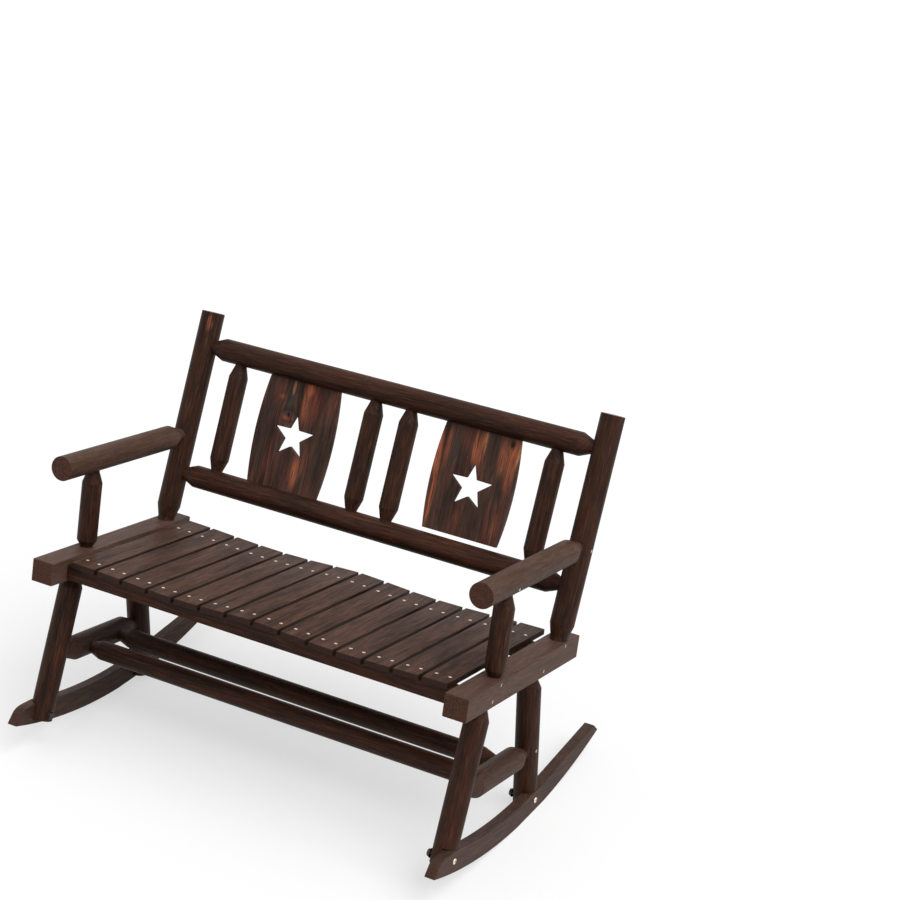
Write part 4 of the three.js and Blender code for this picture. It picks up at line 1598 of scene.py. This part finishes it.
def slot_cutter(rail, sign):
    """The chisel for a panel's slot in a back rail."""
    panels = settings("bench_panels")
    deep = panels.tongue + FIT_GAP
    lower_edge, upper_edge = rail_edges()
    if rail == "back_rail_upper":
        low, high = upper_edge - OVERRUN, upper_edge + deep
    else:
        low, high = lower_edge - deep, lower_edge + OVERRUN
    width = panels.end_width + 2 * FIT_GAP
    block = squared_solid(width, panels.thickness + 2 * FIT_GAP, high - low)
    return put(block, back_frame() @ slide(sign * panels.panel_x, 0, (low + high) / 2))


def cutters_for(name):
    """All that is cut out of a piece: sockets, screw and bolt holes, laps and panel slots."""
    layout = log_layout()
    cutters = [tenon_cutter(layout[log], end) for log, end in socket_layout().get(name, ())]
    cutters += [screw_cutter(screw) for screw in screw_layout().values() if name in screw.pieces]
    for side, sign in SIDES.items():
        for leg in LEGS:
            if name in (f"leg_{leg}_{side}", f"rocker_{side}"):
                cutters.append(bolt_cutter(leg, sign))
            if name == f"leg_{leg}_{side}":
                cutters.append(lap_cutter(sign))
        if name.startswith("back_rail"):
            cutters.append(slot_cutter(name, sign))
    return cutters


def turned_log(log):
    """Turns a log with its pointed ends and their tenons."""
    radius = log.diameter / 2
    stations = [(radius, 0)]
    low, high = 0, log.length
    if log.foot:
        tip, low, tenon = log.foot
        stations = [(tip / 2, -tenon), (tip / 2, 0), (radius, low)]
    if log.head:
        high -= log.head[1]
    steps = max(1, round((high - low) / RING_STEP))
    stations += [(radius, low + (high - low) * step / steps) for step in range(1, steps + 1)]
    if log.head:
        tip, _, tenon = log.head
        stations += [(tip / 2, log.length), (tip / 2, log.length + tenon)]
    piece = turned_solid(stations, LOG_FACETS)
    ease_edges(piece, settings("bench_logs").edge, SOFT_ANGLE)
    return put(piece, log.place)


def build_logs(names, finish):
    """Turns the named logs, cuts what belongs in them, and gives them their finish."""
    layout = log_layout()
    for name in names:
        log = layout[name]
        piece = turned_log(log)
        drill(piece, cutters_for(name))
        name_piece(piece, name)
        if WOODS[finish].marks:
            # The split's patches are measured down from the post's top
            set_grain(piece, log.place, "split_post", along=-log.length)
        else:
            set_grain(piece, log.place, "log")
        finish_piece(piece, finish, name)


def mortise_cutter(front):
    """The chisel for one cross rail's mortises in both beams."""
    seat = settings("bench_seat")
    low = seat.cross_shoulder - seat.cross_depth - FIT_GAP
    high = seat_top(seat_half_width()) - seat.slat_thickness - seat.cross_shoulder
    inner = seat.bench_width / 2 - seat.beam_width
    reach = 2 * (inner + seat.cross_tenon + FIT_GAP)
    block = squared_solid(reach, seat.cross_thickness + 2 * FIT_GAP, high - low)
    middle = front + seat.cross_thickness / 2
    return put(block, bench_frame() @ slide(0, middle, (low + high) / 2))


def build_beam(side, sign):
    """Squares a side beam, and cuts its mortises, sockets and screw holes."""
    seat = settings("bench_seat")
    name = f"beam_{side}"
    place = bench_frame() @ slide(sign * beam_x(), seat.beam_length / 2, -seat.beam_height / 2)
    beam = squared_solid(seat.beam_width, seat.beam_length, seat.beam_height)
    ease_edges(beam, seat.beam_edge, segments=BEAM_EDGE_STEPS)
    put(beam, place)
    mortises = [mortise_cutter(front) for front in (seat.cross_front, seat.cross_rear)]
    drill(beam, mortises + cutters_for(name))
    name_piece(beam, name)
    set_grain(beam, place @ ALONG_Y, "beam")
    finish_piece(beam, "carbonised_fir_beam", name)


def slat_screw_frames(index):
    """Where a slat's four screws stand, with z out of the wood."""
    seat = settings("bench_seat")
    metal = settings("bench_metal")
    found = []
    for back in (metal.slat_screw_front, metal.slat_screw_rear):
        for sign in SIDES.values():
            x = sign * metal.slat_screw_spread / 2
            found.append(slat_frame(index) @ slide(x, back - seat.slat_front, 0))
    return found


def slat_screw_cutters(index):
    """The countersunk holes of one slat's screws."""
    metal = settings("bench_metal")
    shank = metal.slat_screw_diameter / 2 + FIT_GAP
    head = metal.slat_screw_head / 2 + COUNTERSINK_GAP
    neck = head - shank
    stations = [
        (shank, -metal.slat_screw_length - FIT_GAP),
        (shank, -neck - SLAT_SCREW_SUNK),
        (head, -SLAT_SCREW_SUNK),
        (head, OVERRUN),
    ]
    return [put(turned_solid(stations, SMALL_FACETS), place) for place in slat_screw_frames(index)]


def build_slat(index):
    """Saws a slat, eases its edges and countersinks it for its screws."""
    seat = settings("bench_seat")
    name = f"slat_{index + 1:02d}"
    place = slat_frame(index) @ slide(0, seat.slat_length / 2, -seat.slat_thickness / 2)
    slat = squared_solid(seat.slat_width, seat.slat_length, seat.slat_thickness)
    ease_edges(slat, seat.slat_edge)
    put(slat, place)
    drill(slat, slat_screw_cutters(index))
    name_piece(slat, name)
    set_grain(slat, place @ ALONG_Y, "slat")
    across = place.to_3x3() @ Vector((1, 0, 0))
    # A slat's sides face its neighbours across narrow gaps, and get painted shade
    mark_painted_gap_shade(slat, lambda face: abs(face.normal.dot(across)) > SIDE_FACING_SHARE)
    finish_piece(slat, "carbonised_fir_board", name)


def cross_outline():
    """A cross rail's outline in x and z. Its top follows the slats' undersides, and its ends are
    tenons."""
    seat = settings("bench_seat")
    under = Vector((0, -seat.slat_thickness - FIT_GAP))
    top = []
    for index in range(seat.slat_count):
        x, z, tilt = slat_layout(index)
        lean = Matrix.Rotation(tilt, 2)
        for sign in (1, -1):
            corner = Vector((x, z)) + lean @ (under - Vector((sign * seat.slat_width / 2, 0)))
            top.append(tuple(corner))
    shoulder = seat.bench_width / 2 - seat.beam_width - FIT_GAP
    tenon = seat.bench_width / 2 - seat.beam_width + seat.cross_tenon
    low = -seat.cross_depth
    end_top = top[0][1]
    right_end = [
        (shoulder, low),
        (shoulder, low + seat.cross_shoulder),
        (tenon, low + seat.cross_shoulder),
        (tenon, end_top - seat.cross_shoulder),
        (shoulder, end_top - seat.cross_shoulder),
        (shoulder, end_top),
    ]
    left_end = [(-x, z) for x, z in reversed(right_end)]
    return right_end + top[::-1] + left_end


def build_cross_rail(name, front):
    """Saws a cross rail and drills it for the slats' screws."""
    seat = settings("bench_seat")
    rail = sawn_solid(cross_outline(), seat.cross_thickness)
    ease_edges(rail, seat.cross_edge)
    put(rail, bench_frame() @ slide(0, front + seat.cross_thickness, 0) @ UPRIGHT)
    for index in range(seat.slat_count):
        drill(rail, [joined(slat_screw_cutters(index))])
    name_piece(rail, name)
    middle = bench_frame() @ slide(0, front, -seat.cross_depth / 2) @ ALONG_X
    set_grain(rail, middle, "cross_rail")
    finish_piece(rail, "carbonised_fir_rail", name)


def rocker_outline():
    """A rocker's outline about its arc's centre, with the flat that it rests on."""
    sizes = settings("bench_rockers")
    inner = sizes.radius - sizes.depth
    flat_half = math.asin(sizes.flat_length / 2 / sizes.radius)
    flat = DOWN + sizes.recline
    nose = DOWN - math.asin(sizes.nose_reach / sizes.radius)
    tail = DOWN + math.asin(sizes.tail_reach / sizes.radius)
    nose_top = DOWN - math.asin(sizes.nose_flat_reach / inner)
    straight = DOWN + math.asin(sizes.straight_reach / inner)
    tip = Vector((-sizes.nose_reach, sizes.radius * math.sin(nose)))
    corner = tip + Vector((sizes.nose_back, sizes.nose_rise))
    top = Vector((-sizes.nose_flat_reach, inner * math.sin(nose_top)))
    face_end = corner.lerp(tip, sizes.nose_round_share)
    round_end = corner.lerp(top, sizes.nose_round_share)
    tail_top = sizes.tail_reach - sizes.tail_cut
    tail_rise = (tail_top - sizes.straight_reach) * math.tan(straight - DOWN)
    outline = arc(sizes.radius, tail, flat + flat_half)
    outline += arc(sizes.radius, flat - flat_half, nose)
    outline.append(tuple(face_end))
    outline += rounded(face_end, corner, round_end, ROUND_STEPS)
    outline.append(tuple(round_end))
    outline += arc(inner, nose_top, straight)
    outline.append((tail_top, inner * math.sin(straight) + tail_rise))
    return outline


def build_rocker(side, sign):
    """Saws a rocker from a board, eases its edges and drills it for its bolts."""
    sizes = settings("bench_rockers")
    name = f"rocker_{side}"
    rocker = put(sawn_solid(rocker_outline(), sizes.thickness), slide(0, 0, -sizes.thickness / 2))
    ease_edges(rocker, sizes.edge)
    x = sign * (settings("bench_seat").bench_width - sizes.thickness) / 2
    put(rocker, rocker_frame(x))
    drill(rocker, cutters_for(name))
    name_piece(rocker, name)
    place = bench_frame() @ slide(x, sizes.low_back, -sizes.beam_top) @ ALONG_Y
    set_grain(rocker, place, "rocker")
    finish_piece(rocker, "carbonised_fir_smooth", name)


def panel_outline(low, low_tongue, high):
    """A panel's outline in x and z. Straight tongues sit in the rails, and the sides swell in
    between."""
    sizes = settings("bench_panels")
    half = sizes.end_width / 2
    foot = Vector((half, low + low_tongue))
    top = Vector((half, high - sizes.tongue))
    pull = Vector((sizes.waist - half, (foot.y + top.y) / 2))
    right = [(half, low)]
    if low_tongue:
        right.append(tuple(foot))
    right += rounded(foot, pull, top, ARC_STEPS)
    right += [tuple(top), (half, high)]
    return right + [(-x, z) for x, z in reversed(right)]


def star_outline():
    """A star's outline in x and z, with a point up."""
    sizes = settings("bench_panels")
    found = []
    for step in range(2 * sizes.star_points):
        amount = QUARTER + step * math.pi / sizes.star_points
        radius = sizes.star_radius * (1 if step % 2 == 0 else sizes.star_inner_share)
        x = radius * math.cos(amount) - sizes.star_set_left
        found.append((x, sizes.star_height + radius * math.sin(amount)))
    return found


def build_panel(side, sign):
    """Saws a back panel and the star in it. The right panel ends above the lower rail."""
    sizes = settings("bench_panels")
    name = f"star_panel_{side}"
    lower_edge, upper_edge = rail_edges()
    tongue = sizes.tongue if side == "left" else 0
    low = lower_edge + (-tongue if side == "left" else sizes.right_lift)
    panel = sawn_solid(panel_outline(low, tongue, upper_edge + sizes.tongue), sizes.thickness)
    star = put(sawn_solid(star_outline(), sizes.thickness + 2 * OVERRUN), slide(0, 0, -OVERRUN))
    drill(panel, [star])
    ease_edges(panel, sizes.edge)
    upright = back_frame() @ slide(sign * sizes.panel_x, 0, 0)
    put(panel, upright @ slide(0, sizes.thickness / 2, 0) @ UPRIGHT)
    name_piece(panel, name)
    set_grain(panel, upright @ slide(0, 0, sizes.star_height), "panel", along=0)
    middle = upright @ Vector((-sizes.star_set_left, 0, sizes.star_height))
    through = upright.to_3x3() @ Vector((0, 1, 0))
    # The walls of the star's cut get painted shade
    mark_painted_gap_shade(
        panel,
        lambda face: abs(face.normal.dot(through)) < 1 - SIDE_FACING_SHARE
        and (face.center - middle).length < sizes.star_radius,
    )
    finish_piece(panel, f"torched_fir_{side}", name)


def cross_recess(head, top, depth):
    """The cutters for a screwdriver's cross in a head."""
    cutters = []
    for amount in (0, QUARTER):
        blade = squared_solid(head * RECESS_LENGTH_SHARE, head * RECESS_WIDTH_SHARE, 2 * depth)
        cutters.append(put(blade, slide(0, 0, top) @ turn(amount, "Z")))
    return cutters


def screw_model(diameter, head, head_depth, run, sunk):
    """Turns a countersunk screw that points down from the origin, with a cross in its head."""
    radius = diameter / 2
    stations = [
        (radius * TIP_SHARE, -run),
        (radius, -run + diameter),
        (radius, -head_depth),
        (head / 2, -sunk - SCREW_RIM),
        (head / 2, -sunk),
    ]
    screw = turned_solid(stations, SMALL_FACETS)
    drill(screw, cross_recess(head, -sunk, head_depth * RECESS_DEPTH_SHARE))
    return screw


def build_slat_screws(index):
    """Drives four screws through a slat."""
    metal = settings("bench_metal")
    diameter = metal.slat_screw_diameter
    head = metal.slat_screw_head
    neck = (head - diameter) / 2 + SLAT_SCREW_SUNK
    model = screw_model(diameter, head, neck, metal.slat_screw_length, SLAT_SCREW_SUNK)
    screws = joined(copies(model, slat_screw_frames(index)))
    name_piece(screws, f"slat_screws_{index + 1:02d}")
    finish_piece(screws, "bright_zinc_steel")


def build_locking_screws():
    """Drives the screws that lock the tenons."""
    metal = settings("bench_metal")
    layout = screw_layout()
    head_depth = metal.screw_head_depth
    model = screw_model(
        metal.screw_diameter, metal.screw_head, head_depth, metal.screw_length, LOCKING_SCREW_SUNK
    )
    screws = copies(model, [screw.place for screw in layout.values()])
    for screw, name in zip(screws, layout):
        name_piece(screw, name)
        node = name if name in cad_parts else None
        finish_piece(screw, "yellow_zinc_steel", node)


def bolt_model():
    """Turns a bolt with a low domed head and a six-sided socket for its key."""
    metal = settings("bench_metal")
    grip = settings("bench_seat").bench_width / 2 - nut_x()
    run = grip + metal.washer_thickness + metal.nut_thickness
    shank = metal.bolt_diameter / 2
    head = metal.bolt_head / 2
    high = metal.bolt_head_height
    side = high * HEAD_SIDE_SHARE
    stations = [(shank, -run), (shank, FIT_GAP), (head, FIT_GAP)]
    for step in range(DOME_STEPS + 1):
        rise = QUARTER * step / (DOME_STEPS + 1)
        stations.append((head * math.cos(rise), side + (high - side) * math.sin(rise)))
    stations.append((head * DOME_FLAT_SHARE, high))
    bolt = turned_solid(stations, SMALL_FACETS)
    socket = metal.bolt_head * SOCKET_SHARE / 2
    key = turned_solid([(socket, high - SOCKET_DEPTH), (socket, high + OVERRUN)], NUT_SIDES)
    drill(bolt, [key])
    return bolt


def darken_thread_and_shade_socket(bolt):
    """Gives a bolt's inner half the nut's dark finish, and paints shade into its socket's floor
    with the same dark material.
    """
    bolt.data.materials.append(material_named("dark_zinc_steel"))
    ends = [abs(vertex.co.x) for vertex in bolt.data.vertices]
    middle = (min(ends) + max(ends)) / 2
    socket = max(ends) - SOCKET_DEPTH
    for face in bolt.data.polygons:
        outward = face.normal.x * face.center.x > 0
        inner = abs(face.center.x) < middle
        # Painted shade: the socket's floor gets the dark steel, standing in for the shade in the
        # hole
        socket_shade = outward and abs(abs(face.center.x) - socket) < SCREW_RIM
        if inner or socket_shade:
            face.material_index = 1


def nut_model():
    """Turns a washer and a six-sided nut as one solid, with its bore."""
    metal = settings("bench_metal")
    thick = metal.washer_thickness
    tall = thick + metal.nut_thickness
    washer_radius = metal.washer_diameter / 2
    nut_radius = metal.nut_diameter / 2
    bore = metal.bolt_diameter / 2 + FIT_GAP
    washer = turned_solid([(washer_radius, 0), (washer_radius, thick)], LOG_FACETS)
    ease_edges(washer, thick * WASHER_EDGE_SHARE)
    nut = turned_solid([(nut_radius, thick / 2), (nut_radius, tall)], NUT_SIDES)
    ease_edges(nut, NUT_EDGE)
    combine(washer, nut, "UNION")
    drill(washer, [turned_solid([(bore, -OVERRUN), (bore, tall + OVERRUN)], SMALL_FACETS)])
    return washer


def build_rocker_bolts():
    """Bolts the rockers to the legs."""
    spots = [(leg, side) for leg in LEGS for side in SIDES]
    bolt_places = []
    nut_places = []
    for leg, side in spots:
        sign = SIDES[side]
        x, y, z = bolt_layout(leg, sign)
        bolt_places.append(facing_out(sign, abs(x), y, z))
        nut_frame = bench_frame() @ slide(sign * nut_x(), y, z) @ turn(-sign * QUARTER, "Y")
        nut_places.append(nut_frame)
    for bolt, (leg, side) in zip(copies(bolt_model(), bolt_places), spots):
        name = f"rocker_bolt_{leg}_{side}"
        name_piece(bolt, name)
        finish_piece(bolt, "yellow_zinc_steel", name)
        darken_thread_and_shade_socket(bolt)
    for nut, (leg, side) in zip(copies(nut_model(), nut_places), spots):
        name = f"rocker_nut_{leg}_{side}"
        name_piece(nut, name)
        finish_piece(nut, "dark_zinc_steel", name)


# Stage


def add_floor():
    sizes = settings("bench_studio")
    clear_selection()
    bpy.ops.mesh.primitive_plane_add(size=sizes.floor_size)
    floor = bpy.context.object
    floor.name = "studio_floor"
    floor.data.materials.append(studio_floor())


def add_camera():
    sizes = settings("bench_studio")
    bpy.ops.object.camera_add(location=sizes.camera_place, rotation=sizes.camera_turn)
    camera = bpy.context.object
    camera.name = "photo_camera"
    camera.data.lens = sizes.lens
    camera.data.sensor_width = SENSOR_WIDTH
    camera.data.clip_end = sizes.floor_size
    bpy.context.scene.camera = camera


def add_lamp():
    """The main lamp hangs high on the right, so that right-hand faces are as bright as the tops."""
    sizes = settings("bench_studio")
    towards = Vector(sizes.lamp_direction)
    bpy.ops.object.light_add(type="SUN", rotation=towards.to_track_quat("Z", "Y").to_euler())
    lamp = bpy.context.object
    lamp.name = "soft_lamp"
    lamp.data.energy = sizes.sun_strength
    lamp.data.angle = sizes.sun_softness


def add_soft_box():
    """White all round for what the eye sees. What lights the bench grows brighter from the
    horizon up."""
    sizes = settings("bench_studio")
    world = bpy.context.scene.world or bpy.data.worlds.new("studio")
    bpy.context.scene.world = world
    world.use_nodes = True
    tree = world.node_tree
    tree.nodes.clear()
    direction = add(tree, "ShaderNodeTexCoord").outputs["Generated"]
    height = add(tree, "ShaderNodeSeparateXYZ", {"Vector": direction}).outputs["Z"]
    light = add(
        tree,
        "ShaderNodeMapRange",
        {"Value": height, "To Min": sizes.sky_low, "To Max": sizes.sky_high},
    ).outputs[0]
    strength = add(
        tree, "ShaderNodeMath", {0: seen_by_eye(tree), 1: light}, operation="MAXIMUM"
    ).outputs[0]
    sky = add(tree, "ShaderNodeBackground", {"Color": grey(1), "Strength": strength})
    add(tree, "ShaderNodeOutputWorld", {"Surface": sky.outputs["Background"]})


# Operators


class BenchOperator:
    """What every operator of the bench shares."""

    bl_options = {"REGISTER", "UNDO"}


class BENCH_OT_beams(BenchOperator, bpy.types.Operator):
    """Builds the two side beams"""

    bl_idname = "bench.beams"
    bl_label = "Side beams"

    def execute(self, context):
        for side, sign in SIDES.items():
            build_beam(side, sign)
        return {"FINISHED"}


class BENCH_OT_seat(BenchOperator, bpy.types.Operator):
    """Builds the cross rails and the slats on them"""

    bl_idname = "bench.seat"
    bl_label = "Seat"

    def execute(self, context):
        seat = context.scene.bench_seat
        build_cross_rail("cross_rail_front", seat.cross_front)
        build_cross_rail("cross_rail_rear", seat.cross_rear)
        for index in range(seat.slat_count):
            build_slat(index)
        return {"FINISHED"}


class BENCH_OT_seat_screws(BenchOperator, bpy.types.Operator):
    """Drives four screws through each slat"""

    bl_idname = "bench.seat_screws"
    bl_label = "Slat screws"

    def execute(self, context):
        for index in range(context.scene.bench_seat.slat_count):
            build_slat_screws(index)
        return {"FINISHED"}


class BENCH_OT_rockers(BenchOperator, bpy.types.Operator):
    """Builds the two rockers"""

    bl_idname = "bench.rockers"
    bl_label = "Rockers"

    def execute(self, context):
        for side, sign in SIDES.items():
            build_rocker(side, sign)
        return {"FINISHED"}


class BENCH_OT_legs(BenchOperator, bpy.types.Operator):
    """Builds the four legs"""

    bl_idname = "bench.legs"
    bl_label = "Legs"

    def execute(self, context):
        build_logs([f"leg_{leg}_{side}" for leg in LEGS for side in SIDES], "carbonised_fir_post")
        return {"FINISHED"}


class BENCH_OT_stretchers(BenchOperator, bpy.types.Operator):
    """Builds the side stretchers and the long stretchers between them"""

    bl_idname = "bench.stretchers"
    bl_label = "Stretchers"

    def execute(self, context):
        build_logs([f"side_stretcher_{side}" for side in SIDES], "carbonised_fir_smooth")
        build_logs(["long_stretcher_front", "long_stretcher_rear"], "carbonised_fir_rail")
        return {"FINISHED"}


class BENCH_OT_back(BenchOperator, bpy.types.Operator):
    """Builds the back's posts and rails"""

    bl_idname = "bench.back"
    bl_label = "Back posts and rails"

    def execute(self, context):
        build_logs(["back_rail_upper", "back_rail_lower"], "carbonised_fir_rail")
        build_logs(["back_post_left"], "carbonised_fir_split_post")
        build_logs(["back_post_right"], "carbonised_fir_post")
        return {"FINISHED"}


class BENCH_OT_spindles(BenchOperator, bpy.types.Operator):
    """Builds the four spindles"""

    bl_idname = "bench.spindles"
    bl_label = "Spindles"

    def execute(self, context):
        build_logs(SPINDLES, "carbonised_fir_post")
        return {"FINISHED"}


class BENCH_OT_star_panels(BenchOperator, bpy.types.Operator):
    """Builds the two panels with a star"""

    bl_idname = "bench.star_panels"
    bl_label = "Star panels"

    def execute(self, context):
        for side, sign in SIDES.items():
            build_panel(side, sign)
        return {"FINISHED"}


class BENCH_OT_arms(BenchOperator, bpy.types.Operator):
    """Builds the arms and their posts"""

    bl_idname = "bench.arms"
    bl_label = "Arms"

    def execute(self, context):
        build_logs([f"arm_{side}" for side in SIDES], "carbonised_fir_arm")
        build_logs([f"arm_post_{side}" for side in SIDES], "carbonised_fir_post")
        return {"FINISHED"}


class BENCH_OT_locking_screws(BenchOperator, bpy.types.Operator):
    """Drives the screws that lock the tenons"""

    bl_idname = "bench.locking_screws"
    bl_label = "Locking screws"

    def execute(self, context):
        build_locking_screws()
        return {"FINISHED"}


class BENCH_OT_rocker_bolts(BenchOperator, bpy.types.Operator):
    """Bolts the rockers to the legs"""

    bl_idname = "bench.rocker_bolts"
    bl_label = "Rocker bolts and nuts"

    def execute(self, context):
        build_rocker_bolts()
        return {"FINISHED"}


class BENCH_OT_stage(BenchOperator, bpy.types.Operator):
    """Sets up the studio round the bench"""

    bl_idname = "bench.stage"
    bl_label = "Studio"

    def execute(self, context):
        add_floor()
        add_camera()
        add_lamp()
        add_soft_box()
        context.scene.view_settings.view_transform = "Standard"
        return {"FINISHED"}


OPERATORS = (
    BENCH_OT_beams,
    BENCH_OT_seat,
    BENCH_OT_seat_screws,
    BENCH_OT_rockers,
    BENCH_OT_legs,
    BENCH_OT_stretchers,
    BENCH_OT_back,
    BENCH_OT_spindles,
    BENCH_OT_star_panels,
    BENCH_OT_arms,
    BENCH_OT_locking_screws,
    BENCH_OT_rocker_bolts,
    BENCH_OT_stage,
)


class BENCH_PT_panel(bpy.types.Panel):
    """The bench's sizes and the operators that build it"""

    bl_label = "Log rocking bench"
    bl_idname = "BENCH_PT_panel"
    bl_space_type = "VIEW_3D"
    bl_region_type = "UI"
    bl_category = "Bench"

    def draw(self, context):
        for operator in OPERATORS:
            self.layout.operator(operator.bl_idname)
        for name, group in GROUPS.items():
            box = self.layout.box()
            box.label(text=group.__doc__)
            for key in group.__annotations__:
                box.prop(getattr(context.scene, name), key)


CLASSES = (*GROUPS.values(), *OPERATORS, BENCH_PT_panel)


def register():
    for made in CLASSES:
        bpy.utils.register_class(made)
    for name, group in GROUPS.items():
        setattr(bpy.types.Scene, name, bpy.props.PointerProperty(type=group))


def unregister():
    for name in GROUPS:
        delattr(bpy.types.Scene, name)
    for made in reversed(CLASSES):
        bpy.utils.unregister_class(made)


def main():
    """Builds the bench and its studio."""
    register()
    bpy.ops.bench.beams()
    bpy.ops.bench.seat()
    bpy.ops.bench.seat_screws()
    bpy.ops.bench.rockers()
    bpy.ops.bench.legs()
    bpy.ops.bench.stretchers()
    bpy.ops.bench.back()
    bpy.ops.bench.spindles()
    bpy.ops.bench.star_panels()
    bpy.ops.bench.arms()
    bpy.ops.bench.locking_screws()
    bpy.ops.bench.rocker_bolts()
    bpy.ops.bench.stage()


if __name__ == "__main__":
    main()
